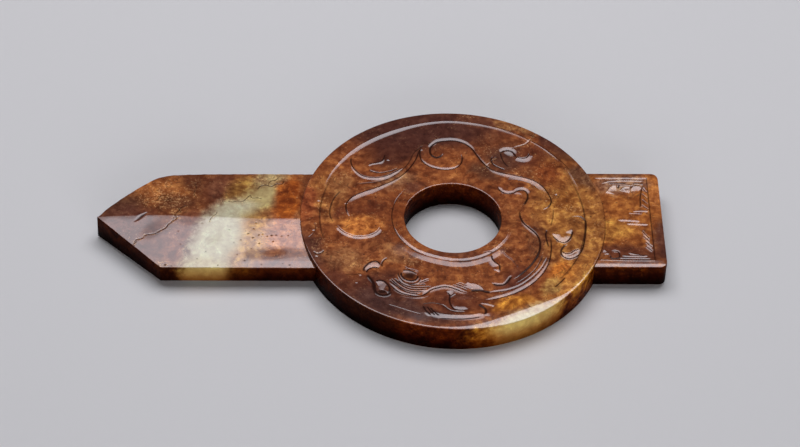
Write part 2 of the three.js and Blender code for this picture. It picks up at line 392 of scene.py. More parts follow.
    # The small hook, the dragon's haunch and tail, and the hooked scroll by the right rim.
    RIGHT_SIDE = (
        Line(((17, 16.9), (17.2, 14.8), (18.4, 13.2), (20.6, 12.4), (22.6, 13), (24.2, 14.2), (26, 14.5),
              (27.4, 13), (27.6, 10.8), (26.6, 8), (25.2, 5.3)), left=(-0.28, 2.1), right=(0.07, 1.0),
              stain=0.9, edge=0.42),
        Line(((25, 5.8), (24.3, 2.5), (24.4, 0), (25.6, -2.9), (27.5, -5.2), (29.5, -7.7), (30.6, -10.4),
              (30.8, -13.8), (29.9, -18.1), (27.6, -22.6), (25, -26.1), (22.5, -28.8), (19.6, -31.2)),
              left=(-0.09, 0.7), right=(0.1, 1.6), stain=1.0, edge=0.4),
        Line(((12.4, -32.5), (14.6, -33.4), (17, -33.1), (18.3, -31.6), (19.3, -29.9), (20, -28.6)),
              left=(-0.16, 1.0), right=(0.03, 0.6), stain=1.0, edge=0.5),
        Line(((13.3, -18.2), (13.3, -20.4), (14.2, -22.2), (15.7, -23.8), (15.8, -25.4), (15.4, -27.2)),
              right=(0.2, 2.8), stain=0.9, edge=0.36),
        Line(((10, -18.2), (12.2, -17.2), (14, -17.3)), left=(-0.08, 0.5), right=(0.1, 0.9), stain=0.6),
        Line(((17, -16.8), (18.6, -19.1), (20.3, -20.8), (21.6, -23.1), (23.3, -25.3)), left=(-0.03, 0.4),
              right=(0.03, 0.5)),
        Line(((8.4, -41), (12, -40.5), (16, -39.4), (20, -37.7), (24, -35.2), (28, -31.6), (31, -27.6),
              (33, -23.6), (34.2, -19.1), (34.8, -13), (34.4, -6.7)), left=(-0.17, 1.6), right=(0.03, 0.4),
              stain=0.85),
        Line(((10.4, -37), (14, -36.7), (18, -35.9), (22, -34.1), (26, -30.8), (29.5, -26.8), (31.8, -23.1),
              (33.2, -18.6)), left=(-0.12, 0.9), right=(-0.06, 0.4), stain=0.7),
        Line(((20.6, -33.1), (24.4, -30.2), (28, -26.1), (30.4, -21.6), (31.8, -17.4)), left=(-0.05, 0.5),
              right=(-0.04, 0.3), stain=0.7),
        Line(((33.8, -5.4), (33.1, -8.3), (33.3, -11.3), (33.9, -14.8)), left=(-0.1, 0.5),
              right=(-0.08, 0.4), stain=0.9),
        Line(((35.2, -7.7), (36.3, -9.9), (37.8, -11.6), (39.6, -12.1), (41.4, -10.6), (42.5, -8.2),
              (42.7, -5.5)), left=(-0.38, 3.1), right=(0.1, 0.7), stain=1.0, edge=0.4, fade=(0.18, 0.16)),
        Line(((41.6, 0.9), (44, 1.1), (46.3, 0.8), (47.6, -0.8), (47.8, -3.8), (47.2, -8.8), (46.3, -13.8),
              (45, -17.4), (42.8, -19.6), (40.5, -20.2), (38.7, -19.1), (38.1, -16.6), (39, -14.5),
              (40.8, -12.9)), left=(0.1, 0.7), right=(-0.2, 1.6), stain=0.95, edge=0.36, fade=(0.2, 0.05)),
        Line(((38.4, -15.8), (39.4, -17.6), (41.2, -17.6), (43, -16.2), (45.2, -15.2)), left=(-0.07, 0.5),
              right=(0.12, 1.0), stain=0.8),
        Line(((34.6, -34.7), (36.4, -32.9), (39, -29.6)), left=(-0.05, 0.3), right=(-0.05, 0.3), stain=0.9),
    )
    # The dragon's head, body and foreleg along the lower rim.
    DRAGON = (
        Line(((-31.6, -27.6), (-31.2, -26.2), (-30.2, -25.3), (-28.8, -24.9), (-27.4, -25.1),
              (-26.6, -25.8)), left=(-0.17, 2.9), right=(-0.05, 0.4), stain=1.0, edge=0.36,
              fade=(0.1, 0.2)),
        Line(((-32.2, -27.4), (-32.4, -25.4), (-31.3, -23.6), (-29.5, -22.1), (-28, -21.9), (-27, -22.8),
              (-26.5, -24.4)), left=(-0.03, 0.3), right=(0.04, 0.5), stain=1.0, edge=0.4),
        Line(((-25.9, -24.8), (-26, -23.1), (-25.3, -21.4), (-23.9, -20.2)), left=(-0.1, 0.7), stain=0.9),
        Line(((-31.7, -27.4), (-30.8, -29.6), (-29.8, -31.4), (-29.1, -33.2), (-28.9, -35.9),
              (-28.1, -37.8), (-26.6, -38.7), (-24.7, -38.6), (-23.4, -37.5), (-22.9, -35.7)),
              right=(0.16, 1.3), stain=1.0, edge=0.66),
        Line(((-28.5, -31.8), (-27, -31.4), (-25.5, -31.8), (-24.3, -33.2), (-23.6, -35), (-23.7, -36.8),
              (-24.6, -37.9)), left=(0.06, 0.6), right=(0.13, 3.4), stain=1.0, edge=0.44,
              fade=(0.05, 0.14)),
        Line(((-20.1, -26.4), (-20.3, -28.6), (-19.4, -30.8), (-18, -32.5), (-15.6, -33), (-13.4, -32.1),
              (-12.6, -30.6), (-12.5, -28.6)), left=(0.06, 0.45), right=(0.1, 0.7), stain=0.8),
        Line(((-18.9, -26.6), (-19.3, -28.4), (-18.6, -30.1), (-17, -31.2), (-15.2, -31.4), (-13.9, -30.6),
              (-13.5, -29.2), (-13.9, -28.1)), right=(0.12, 0.8), stain=1.0, edge=0.4),
        Line(((-19, -26.6), (-17.6, -26.2), (-16, -26.6), (-14.6, -27.3), (-13.7, -28.4)), left=(0.06, 0.5),
              stain=0.9),
        Line(((-18.2, -24.2), (-17.2, -25.3), (-15, -26.1), (-12.8, -27.1)), left=(-0.06, 0.5),
              right=(0.04, 0.5)),
        Line(((-13, -32.4), (-11.8, -31.8), (-10.6, -31.1), (-9.4, -30.6)), left=(-0.1, 0.7),
              right=(0.06, 0.6), stain=0.7),
        Line(((-24.3, -31.8), (-22.7, -34.1), (-21, -36.3), (-19, -37.7), (-16.4, -38.5), (-14, -38.9),
              (-12.2, -38.6), (-10.6, -37.4), (-9, -35.9), (-6.6, -34.8), (-4, -34.2), (-1.8, -34.7),
              (0.4, -35.8), (2.6, -36.9), (4.6, -37.4)), left=(-0.13, 1.1), right=(0.06, 1.8), stain=1.0,
              edge=0.32),
        Line(((-1.4, -33.4), (0.6, -34.2), (2.6, -35.2), (4, -36)), left=(-0.07, 0.45), right=(-0.05, 0.3),
              stain=0.6),
        Line(((-0.2, -32.8), (1.6, -33.6), (3.4, -34.7), (4.6, -35.2)), left=(-0.07, 0.45),
              right=(-0.05, 0.3), stain=0.6),
        Line(((0.8, -32.2), (2.4, -32.9), (4, -33.9)), left=(-0.06, 0.4), right=(-0.05, 0.3)),
        Line(((3.4, -31.4), (4.8, -32.4), (6.8, -32.9), (8.4, -33.7), (9.6, -35.6)), right=(0.22, 3.4),
              stain=0.3),
        Line(((4.8, -36.5), (7, -36.1), (9, -36.2), (10.4, -36.7), (12.4, -36.9)), left=(-0.05, 0.4),
              stain=1.0, edge=0.6),
        Line(((-3.7, -36.5), (-2.5, -38.2), (-2.6, -41.1), (-2.2, -43.2), (-1.4, -44.8), (0.4, -45.6),
              (2.6, -45.6), (4.4, -45.2)), left=(-0.19, 2.3), right=(0.05, 0.7), stain=0.9, edge=0.36,
              fade=(0.1, 0.14)),
        Line(((-0.4, -37.4), (-1.4, -38.1), (-2.4, -39.1)), left=(0.06, 0.6), stain=0.7),
        Line(((-5.6, -42.7), (-4.2, -44.2), (-3, -45.5), (-1.2, -46.4), (1, -46.6), (3, -46.5)),
              left=(-0.1, 0.7), right=(-0.04, 0.4), stain=0.8),
        Line(((-12.6, -43.1), (-11.2, -42.6), (-9.2, -42.2), (-6.8, -42.5), (-4.8, -43.2)),
              left=(0.03, 0.6), right=(-0.04, 0.5), stain=0.7),
        Line(((-12, -43.5), (-11.5, -45.2), (-10.6, -46.9), (-9.3, -48.5)), left=(-0.05, 0.4),
              right=(0.14, 1.2), stain=1.0, edge=0.36),
        Line(((-10.6, -43.9), (-9.9, -45.5), (-9, -47.1), (-7.8, -48.7)), left=(-0.05, 0.4),
              right=(0.1, 1.0), stain=1.0),
        Line(((-9.5, -44.2), (-8.7, -46), (-7.6, -47.5), (-6.3, -48.9)), left=(-0.05, 0.4),
              right=(0.1, 0.9), stain=1.0, edge=0.36),
        Line(((-8.6, -45.9), (-7.3, -46.9), (-5, -47.6), (0, -48), (5, -47.8), (8, -47.1), (9.4, -46.1)),
              right=(0.2, 3.0), fade=(0.06, 0.1)),
        Line(((-7, -49.7), (-3, -50.1), (2, -50.1), (6, -49.6), (9, -48.7)), left=(-0.05, 0.7), stain=0.8),
        Line(((7.3, -42.4), (8.5, -43.8), (9.7, -45.1), (10, -46.5), (9.2, -48.4)), left=(0.1, 2.2),
              stain=1.0, edge=0.46),
        Line(((7.5, -41.9), (9.4, -42.2), (11.6, -42.7), (13.4, -43.7)), right=(0.14, 1.5)),
        Line(((-25, -43), (-21, -44.6), (-17.5, -46.2), (-12.4, -48.2)), left=(-0.025, 0.3),
              right=(-0.02, 0.3), stain=0.2),
    )
    # The hair lines that sweep from the dragon's cheek to its back, and the slope under them.
    MANE = (
        *(
            Line(path, (-0.06, 0.5), (-0.05, 0.4), stain=1.0, edge=0.26, fade=(0.06, 0.12))
            for path in (
                ((-23.6, -30.9), (-22, -32.9), (-20, -34.9), (-18, -36.5), (-15.2, -37.6), (-12.4, -37.6)),
                ((-22.9, -30.4), (-20.9, -33.2), (-19.2, -34.9), (-17.2, -36.1), (-14.4, -36.7),
                 (-11, -36.4)),
                ((-21.8, -30.1), (-20.4, -32.1), (-18.8, -33.8), (-16.8, -35.1), (-13.6, -35.6),
                 (-9.8, -35.2)),
                ((-20.6, -30.9), (-19.2, -32.6), (-17.6, -33.7), (-15.6, -34.4), (-12.8, -34.5),
                 (-8.4, -34.2)),
                ((-17.4, -32.9), (-15.6, -33.4), (-13, -33.4), (-10.4, -33.1)),
            )
        ),
        Line(((-23, -36.4), (-19.6, -38.5), (-15.4, -39.4), (-11.4, -38.9), (-8.4, -37.3)),
              right=(0.08, 4.4), stain=0.3, edge=0.5, fade=(0.3, 0.3)),
    )
    # The natural fissure across the upper right, and the chips by the rims.
    CRACKS = (
        Line(((32.4, 45.6), (30.6, 41.4), (28.4, 38.7), (25.4, 37.2), (22, 36.2)), left=(-0.05, 0.4),
              right=(-0.13, 0.7), stain=0.7, edge=0.2, fade=(0.02, 0.3), crust=1.0),
        Line(((18.4, 33.4), (15.8, 30.2), (13.4, 27.2), (10.8, 23.6), (9.4, 21.8)), left=(-0.05, 0.4),
              right=(-0.07, 0.5), stain=0.4, edge=0.2, fade=(0.2, 0.3), crust=0.9),
        Line(((-50.4, -17.2), (-49, -18.6), (-47.4, -18), (-46.4, -16.6)), left=(-0.08, 0.7),
              right=(-0.05, 0.5), stain=0.8),
        Line(((-52.6, -11), (-50.6, -8.8), (-49.4, -5.6), (-50.2, -2.6)), left=(-0.06, 0.5),
              right=(-0.06, 0.4)),
        Line(((-39.6, -28.4), (-37, -28.8), (-34.6, -28.2), (-33, -27.6)), left=(-0.02, 0.3),
              right=(-0.02, 0.3), stain=0.7, edge=0.2),
    )
    # The swellings and hollows between the lines, then small glints and crusted patches.
    BOSSES = (
        Boss((-26.6, -32.4), (1.7, 3.8), 0.12, 4.0),
        Boss((-26.2, -36.9), (1.9, 1.1), dirt_and_shade=0.9),
        Boss((-16.3, -28.9), (2.6, 1.9), dirt_and_shade=0.85),
        Boss((-11.9, -37.3), (2.6, 1.2), -0.1, 16.0),
        Boss((-28.6, -27.4), (1.8, 1.6), dirt_and_shade=0.4),
        Boss((-16.5, -28.8), (3.0, 2.5), -0.09, -14.0),
        Boss((-27.6, 25.8), (3.2, 1.8), 0.06, 20.0),
        Boss((21.5, 30.3), (2.6, 5.6), -0.36, 8.0),
        Boss((-6.4, 36), (1.9, 3.4), -0.17, -18.0),
        Boss((24, 9.6), (2.2, 3.6), -0.18, -6.0),
        *(
            Boss(centre, (size, 0.8 * size), -0.1)
            for centre, size in (
                ((-22.7, 29.6), 0.6), ((-48.3, 8), 0.5), ((-38.4, 6.8), 0.6), ((-50.2, -7), 0.5),
                ((-49.2, -20), 0.5), ((-33.8, -29), 0.5), ((-35.2, -33), 0.5), ((38, 12), 0.5),
            )
        ),
        *(
            Boss(centre, radii, crust=0.5)
            for centre, radii in (
                ((-48, -12), (4, 10)), ((-37, -22), (6, 4)), ((-18.5, 14.5), (4, 3.4)),
                ((6.5, 52.5), (4, 2.2)), ((-39, 22), (4, 4)), ((16, -15), (5, 3.6)), ((12.4, 24), (4, 3)),
                ((36, 11), (3, 4)), ((28, 24), (6, 4)), ((-46, 4), (4, 8)), ((30, 40), (4, 3)),
                ((52, -6), (3, 10)), ((-14, -22), (5, 3)), ((33, -22), (4, 6)), ((15, 34), (3, 3)),
                ((50, 17), (4, 4)), ((31.2, 43.4), (1.6, 3)), ((43, 6), (5, 4)), ((-30, -24), (4, 4)),
            )
        ),
    )
    DISC = SCROLLS + RIGHT_SIDE + DRAGON + MANE + CRACKS + BOSSES
    # The cloud and fret border on the butt's sunk panel.
    BUTT = (
        Line(((54.6, 18.6), (57, 19.8), (60.5, 20.3), (66, 20.4), (71, 20.2)), right=(0.09, 0.9)),
        Line(((56.2, 13.9), (57.3, 16), (58.8, 17.5), (60.8, 17.8)), right=(0.28, 4.2)),
        Line(((61.6, 15), (62.5, 16.5), (64.2, 17.2), (66.3, 16.8)), right=(0.32, 5), stain=0.6),
        Line(((59.4, 18.2), (61.6, 17.8), (64, 18), (66.6, 18), (69.6, 17.6)), right=(0.06, 0.7),
              stain=0.6),
        Line(((64.9, 15.6), (66, 17), (67.8, 17.5), (69.8, 16.8)), right=(0.24, 2.8), stain=0.7),
        Line(((63, 15.4), (64.2, 15.9), (65.6, 15.2), (66, 13.9)), right=(-0.1, 0.6)),
        Line(((66.2, 18.6), (68.2, 18.7), (70.4, 18.4)), right=(0.06, 0.5), stain=0.8),
        Line(((57, 18.7), (60, 18.8), (64.6, 18.6)), right=(0.05, 0.5), stain=0.8),
        Line(((61.4, 18.2), (61.2, 17.2), (60.8, 16)), left=(-0.06, 0.5), stain=0.9),
        Line(((51.4, -20.1), (58, -20.4), (71.4, -20.5)), right=(0.06, 0.45), fade=(0.05, 0.02)),
        Line(((70.4, 18.6), (69.2, 14.6), (68.6, 10.8), (68.4, 7.6), (68, 5.6)), left=(0.11, 1.4),
              right=(-0.05, 0.6), stain=0.8),
        *(
            Line(path, left=(-0.1, 0.6), right=(0.07, 0.5), stain=0.6)
            for path in (
                ((69.3, 13.6), (71.4, 10.8)), ((68.9, 10.8), (71.3, 7.8)), ((68.6, 8), (71.3, 5.2)),
                ((69.6, 16.6), (71.5, 13.6)),
            )
        ),
        Line(((65.4, 4.6), (68, 4.9), (71.4, 4.8)), right=(0.13, 1)),
        Line(((63.6, 3.6), (66.4, 3.7), (69, 3.3)), right=(0.08, 0.7), stain=0.3),
        Line(((59.6, 0.3), (63, 0.2), (68, -0.4)), right=(0.17, 1.2), stain=0.3),
        Line(((62.6, -1.6), (66, -1.7), (70.8, -2)), right=(0.17, 1.1)),
        Line(((68, -5), (69.2, -7.4), (70.9, -9.8)), left=(-0.1, 0.6), right=(0.1, 0.8), stain=0.6),
        Line(((68.2, -7.6), (69.2, -9.4), (70.6, -11.2)), left=(-0.1, 0.6), right=(0.1, 0.8), stain=0.6),
        Line(((69, -10.8), (70, -12.4), (71.3, -14)), left=(-0.15, 0.8), right=(0.12, 0.8), stain=0.7),
        Line(((68.8, -13), (69.9, -14.4), (71.2, -15.9)), left=(-0.12, 0.7), right=(0.1, 0.8), stain=0.6),
        Line(((59.6, -17.8), (63, -17.9), (68.8, -18.1)), right=(0.12, 0.9), stain=0.6),
        Line(((62.2, -16.2), (64.4, -17), (69.4, -17.9)), right=(0.13, 0.9), stain=0.7),
        Line(((55.8, -15.8), (58.6, -16), (58.8, -19), (56, -19.2), (55.9, -17)), left=(-0.12, 0.7),
              right=(0.08, 0.8), stain=0.9),
        Line(((56.6, -18.9), (60, -19), (66, -19), (70.6, -19.1)), right=(0.1, 0.8), stain=0.6),
        Line(((53.2, -14.8), (54.6, -15.6), (55.2, -17.4)), right=(0.15, 2.2), stain=0.3),
    )
    # The fissures of the blade, a chip, crusted patches, a dent and pits.
    BLADE = (
        crack(((-116.4, -14), (-115, -13.8), (-113.9, -11.9), (-113.2, -10.6), (-111.9, -10.4)), 0.22,
               0.14),
        crack(((-113, -10.3), (-111.4, -9.9), (-110.2, -8.4), (-108.4, -8.1), (-106.4, -7.5)), 0.18, 0.1),
        crack(((-106.6, -7.4), (-105, -6.2), (-103.4, -5.1), (-102.2, -3.2), (-100.9, -1.9), (-100.4, 0.6)),
               0.16, 0.09),
        crack(((-101.4, -1.9), (-99.4, -0.4), (-99.6, 1.9), (-98.6, 3.4), (-98.9, 5.4)), 0.2, 0.13),
        crack(((-97.6, 2.2), (-98.2, 4.4), (-96.9, 5.9), (-95.4, 6.3)), 0.2, 0.11),
        Line(((-114.6, -2.4), (-112.8, -0.4), (-111, 1.6), (-109.2, 3.1)), left=(-0.3, 1.1),
              right=(-0.4, 0.8), stain=0.9, edge=0.4, fade=(0.45, 0.45)),
        crack(((-87.6, -2.4), (-86.7, 0.2), (-85.4, 1.6), (-84.7, 3.2)), 0.16, 0.05),
        crack(((-81.4, 9.2), (-79.4, 8.4), (-77.6, 8.9), (-75.9, 8.7), (-74.2, 10.6), (-73, 12),
               (-72.4, 10.6), (-70.4, 10.7), (-68.4, 10.1)), 0.2, 0.1),
        crack(((-70.4, 15.2), (-69.2, 17.2), (-67.2, 17.6), (-65.4, 16.9), (-63.6, 18.3), (-61.6, 18.2),
               (-60.9, 20.2)), 0.26, 0.16),
        crack(((-66.4, 17.4), (-65.8, 19.6), (-63.9, 20.4), (-62.8, 22)), 0.2, 0.1),
        crack(((-108.6, 8.4), (-106.4, 9.2), (-105.4, 11.4), (-103.2, 11.9)), 0.18, 0.08),
        crack(((-93.4, 19.4), (-92.6, 16.2), (-93.4, 13.2), (-92.2, 10.4)), 0.16, 0.07),
        Boss((-104, 12), (13, 8), crust=0.8),
        Boss((-93, 17), (4, 6), crust=0.6),
        Boss((-65, 20.4), (8, 3.4), crust=0.7),
        Boss((-75, 9), (5, 2.4), crust=0.6),
        Boss((-99.6, 2), (2.6, 4), crust=0.9),
        Boss((-104.6, -22.6), (4.6, 2.2), crust=0.9),
        Boss((-76, 6), (1.4, 1.8), -0.05),
        *(
            Boss(centre, (0.8 * size, 0.6 * size), -0.04, dirt_and_shade=0.9)
            for centre, size in (
                ((-73.6, -7.6), 0.5), ((-71.8, -9.4), 0.6), ((-69.8, -8.2), 0.45), ((-68.4, -7.8), 0.5),
                ((-66.8, -8.8), 0.5), ((-65.2, -8.4), 0.7), ((-63.6, -8.2), 0.5), ((-61.6, -8.6), 0.5),
                ((-69.6, -12.2), 0.5), ((-71.6, -5.2), 0.4), ((-76.2, -10.6), 0.5), ((-78.6, -11.8), 0.4),
                ((-64.6, -11.2), 0.5), ((-59.4, -8.4), 0.4), ((-70.8, -2.4), 0.5), ((-72.4, -14.6), 0.4),
                ((-58.8, -22.4), 0.6), ((-61.2, -21.8), 0.4), ((-68.8, -22.2), 0.5), ((-80.4, -5.8), 0.4),
                ((-88.6, -16.2), 0.4), ((-97.6, -12.6), 0.4), ((-94.4, 1.2), 0.5), ((-102.8, -22.4), 0.6),
                ((-100.6, -23), 0.5), ((-105.2, -22.8), 0.6), ((-98.6, -6.4), 0.4), ((-91.6, -19.6), 0.4),
                ((-77.4, -17.4), 0.4), ((-84.2, -22.6), 0.5), ((-74.8, -20.4), 0.5), ((-90.2, -2.6), 0.4),
            )
        ),
    )


@dataclass(frozen=True)
class Around:
    """A measure that changes around the disc, given at some angles and smooth between them."""

    degrees: tuple[float, ...]
    values: tuple[float, ...]
    offsets: tuple[float, ...] = (-4.0, -2.0, 0.0, 2.0, 4.0)

    def at(self, angle: np.ndarray) -> np.ndarray:
        """The measure at angles in radians: the mean of five straight-line readings over eight degrees."""
        turns = np.degrees(angle)
        reads = [np.interp(turns + off, self.degrees, self.values, period=360.0) for off in self.offsets]
        return sum(reads) / len(reads)


class RimForm:
    """How the rims change around the disc, in mm or, for the groove, lip and apron, in shares."""

    INNER_EDGE = Around(
        (-165, -150, -120, -90, -60, -46, -38, -25, -15, 0, 15, 30, 45, 60, 75, 90, 105, 114, 135, 150, 165,
         180),
        (48.8, 48.8, 48.6, 48.5, 48.8, 49.8, 48.8, 48.9, 48.5, 48.4, 48.5, 49.5, 50.0, 49.9, 50.3, 50.6,
         50.0, 49.7, 49.8, 49.4, 48.8, 48.8),
    )
    INNER_SLOPE = Around(
        (-165, -150, -60, -46, -38, -25, 0, 30, 45, 60, 75, 90, 105, 114, 135, 150, 165, 180),
        (1.0, 8.0, 8.0, 2.2, 0.9, 0.8, 0.7, 1.2, 1.8, 2.2, 2.0, 1.3, 1.5, 1.8, 2.0, 1.3, 0.9, 0.8),
    )
    INNER_DROP = Around(
        (-150, -60, -38, 0, 15, 30, 45, 60, 75, 90, 105, 112, 118, 135, 150, 165, 180),
        (0.36, 0.36, 0.34, 0.26, 0.2, 0.08, 0.1, 0.12, 0.14, 0.13, 0.18, 0.3, 0.33, 0.34, 0.2, 0.2, 0.26),
    )
    BEVEL = Around(
        (-170, -150, -120, -105, -95, -90, -83, -75, -68, -60, -55, -50, -45, -40, -30, -25, -18, 0, 180),
        (0.1, 0.3, 0.4, 0.5, 0.7, 0.9, 1.6, 3.0, 3.8, 3.6, 3.1, 2.2, 1.0, 0.8, 0.6, 0.4, 0.1, 0.1, 0.1),
    )
    HOLE_EDGE = Around(
        (-165, -150, -130, -120, -112, -100, -90, -80, -45, -15, 0, 180),
        (21.0, 20.9, 20.8, 20.5, 20.3, 20.4, 20.8, 21.0, 21.1, 21.1, 21.1, 21.0),
    )
    HOLE_GROOVE = Around(
        (-180, -152, -124, -118, -96, -90, -48, -40, 0, 130, 145, 160),
        (1.0, 1.0, 1.0, 0.2, 0.2, 1.0, 1.0, 0.3, 0.1, 0.1, 0.4, 0.9),
    )
    HOLE_LIP = Around(
        (-180, -160, -140, -120, -60, -45, -30, -15, 180),
        (0.1, 0.12, 0.5, 1.0, 1.0, 0.6, 0.4, 0.2, 0.1),
    )
    HOLE_APRON = Around((-150, -128, -118, -54, -44, -10, 180), (0.0, 0.3, 1.0, 1.0, 0.2, 0.0, 0.0))
    BORE = Around((-90, 0, 90, 180), (0.1, 0.0, -0.3, 0.0))


@dataclass(frozen=True)
class BiDisc:
    """The pierced disc. Lengths are mm, and the axis is at the origin of its plan."""

    centre: Point
    radius: float
    thickness: float
    hole_radius: float = 17.5
    hole_rim_radius: float = 21.5
    field_drop: float = 0.32
    shore: float = 11.0
    split_radius: float = 35.0
    slope_straight: float = 0.25
    lip: float = 0.55
    lip_least: float = 0.4
    lip_drop: float = 0.13
    apron: float = 3.2
    apron_drop: float = 0.14
    bevel_slope: float = 0.14
    groove_out: float = 1.0
    groove_width: float = 0.24
    groove_depth: float = 0.14
    # How dark the hole rim's groove and the outer rim's crease are painted: dirt and painted shade.
    groove_dirt_and_shade: float = 0.85
    crease_width: float = 0.5
    crease_slope: float = 1.6
    waves: float = 0.013
    edge_round: float = 0.45
    wall_swell: float = 0.14
    # Each ripple: its depth, its waves round the axis, and the radians by which it shifts over the height.
    wall_ripple: tuple[float, float, float] = (0.04, 9.0, 5.0)
    bore_ripple: tuple[float, float, float] = (0.05, 3.0, 4.0)
    outer_rings: int = 34
    hole_rings: int = 20
    brink_steps: int = 7
    round_steps: int = 6
    wall_steps: int = 14
    outer_columns: int = 1400
    hole_columns: int = 720
    sector_rows: int = 184
    sector_step: float = 0.235
    # Each sector of the field, with its first and last angle in degrees.
    sectors: tuple[tuple[str, float, float], ...] = (
        ("dragon_head_field", -155.0, -62.0),
        ("dragon_tail_field", -62.0, 12.0),
        ("right_scroll_field", 12.0, 100.0),
        ("left_scroll_field", 100.0, 205.0),
    )

    def top(self, x: np.ndarray, y: np.ndarray) -> Face:
        """Works out the carved face.

        The field lies one drop below the rims. Inside the outer rim's edge the ground falls by a part of the
        drop over the slope's width t, a quarter as t and the rest as 2t less t squared, and then over the
        field's shore. Round the hole it falls over the lip, then over the apron, and then over the shore.

        Args:
            x: first coordinates from the axis.
            y: second coordinates from the axis.

        Returns:
            The height above the disc's back, and the dirt with painted shade and the crust.
        """
        r, angle = np.hypot(x, y), np.arctan2(y, x)
        inward = RimForm.INNER_EDGE.at(angle) - r
        drop, width = RimForm.INNER_DROP.at(angle), RimForm.INNER_SLOPE.at(angle)
        share = inward / width
        slope = np.clip(share, 0.0, 1.0)
        bent = 2.0 * slope - slope * slope
        sink = drop * (self.slope_straight * slope + (1.0 - self.slope_straight) * bent)
        sink = sink + (self.field_drop - drop) * smoothstep(inward / self.shore)
        outward = r - RimForm.HOLE_EDGE.at(angle)
        size = RimForm.HOLE_LIP.at(angle)
        lip, lip_drop = self.lip * (self.lip_least + (1.0 - self.lip_least) * size), self.lip_drop * size
        apron_drop = self.apron_drop * RimForm.HOLE_APRON.at(angle)
        fall = lip_drop * 0.5 * (np.clip(outward / lip, 0.0, 1.0) + smoothstep(outward / lip))
        fall = fall + apron_drop * np.clip((outward - lip) / self.apron, 0.0, 1.0)
        fall = fall + (self.field_drop - lip_drop - apron_drop) * smoothstep(outward / self.shore)
        sink = np.where(r < self.split_radius, fall, sink)
        sink = sink + self.bevel_slope * np.clip(r - (self.radius - RimForm.BEVEL.at(angle)), 0.0, None)
        height, grime_and_shade = carve(Relief.DISC, x, y)
        # The hole rim's groove and the crease at the foot of the outer rim's slope are painted dark: dirt and
        # painted shade.
        groove = np.exp(-(((outward - self.groove_out) / self.groove_width) ** 2))
        groove = groove * RimForm.HOLE_GROOVE.at(angle)
        crease = np.exp(-(((share - 1.0) / self.crease_width) ** 2))
        crease = crease * np.clip(self.crease_slope - width, 0.0, 1.0)
        grime_and_shade[..., 0] = np.maximum(grime_and_shade[..., 0], self.groove_dirt_and_shade * np.maximum(groove, crease))
        return self.thickness - sink + height - self.groove_depth * groove + waver(x, y, self.waves), grime_and_shade

    def place(self, x: np.ndarray, y: np.ndarray, z: np.ndarray | float) -> np.ndarray:
        """Puts plan coordinates in mm where the disc stands, in metres."""
        spots = np.broadcast_arrays(x + self.centre[0], y + self.centre[1], z)
        return np.stack(spots, axis=-1).reshape(-1, 3) * MM

    def sector(self, name: str, start: float, end: float) -> bpy.types.Object:
        """Makes one sector of the carved field, from the hole's rim to the outer rim and down to the back.

        Args:
            name: the piece's name.
            start: the first angle in degrees.
            end: the last angle in degrees.

        Returns:
            The piece, a closed solid.
        """
        rows, columns = self.sector_rows, int((end - start) / self.sector_step)
        angle = np.radians(np.linspace(start, end, columns))[None, :]
        share = np.linspace(0.0, 1.0, rows)[:, None]
        r = self.hole_rim_radius + (RimForm.INNER_EDGE.at(angle) - self.hole_rim_radius) * share
        x, y = r * np.cos(angle), r * np.sin(angle)
        z, grime_and_shade = self.top(x, y)
        points = np.vstack([self.place(x, y, z), self.place(x[0], y[0], 0.0), self.place(x[-1], y[-1], 0.0)])
        numbers = np.arange(rows * columns).reshape(rows, columns)
        inner = rows * columns + np.arange(columns)
        outer = inner + columns
        strips = ((numbers[0], inner), (inner, outer), (outer, numbers[-1]))
        quads = np.vstack([Solids.sheet(numbers), *(Solids.quads(*strip) for strip in strips)])
        caps = [
            np.concatenate([numbers[::-1, 0], [inner[0], outer[0]]]),
            np.concatenate([numbers[:, -1], [outer[-1], inner[-1]]]),
        ]
        piece = Solids.mesh(name, points, quads, caps)
        Solids.paint(piece, np.vstack([grime_and_shade.reshape(-1, 2), np.zeros((2 * columns, 2))]))
        return piece

    @staticmethod
    def angles(columns: int) -> np.ndarray:
        """Equal steps once round the axis, in radians."""
        return np.arange(columns) / columns * 2.0 * np.pi

    def crown(self, start: np.ndarray, end: np.ndarray, rings: int) -> list[tuple]:
        """Makes the carved upper face of a rim.

        Args:
            start: the radius of the first ring at each angle.
            end: the radius of the last ring at each angle.
            rings: how many rings the face has.

        Returns:
            Each ring's radius, height, and dirt with painted shade and crust.
        """
        angle = self.angles(len(start))
        radii = [start + (end - start) * share for share in np.linspace(0.0, 1.0, rings)]
        return [(r, *self.top(r * np.cos(angle), r * np.sin(angle))) for r in radii]

    def turned(self, name: str, rings: list[tuple]) -> bpy.types.Object:
        """Joins rings of points around the axis into a closed solid.

        Args:
            name: the piece's name.
            rings: the radius and height of each ring, in order round the section, and any dirt with painted
                shade and crust.

        Returns:
            The piece, a closed solid of revolution.
        """
        columns = max(np.size(ring[0]) for ring in rings)
        angle = self.angles(columns)
        points = np.vstack([self.place(r * np.cos(angle), r * np.sin(angle), z) for r, z, *_ in rings])
        numbers = np.arange(len(rings) * columns).reshape(len(rings), columns)
        closed = np.vstack([numbers, numbers[:1]])
        piece = Solids.mesh(name, points, Solids.sheet(np.hstack([closed, closed[:, :1]])), [])
        clean = np.zeros((columns, 2))
        Solids.paint(piece, np.vstack([ring[2] if len(ring) > 2 else clean for ring in rings]))
        return piece

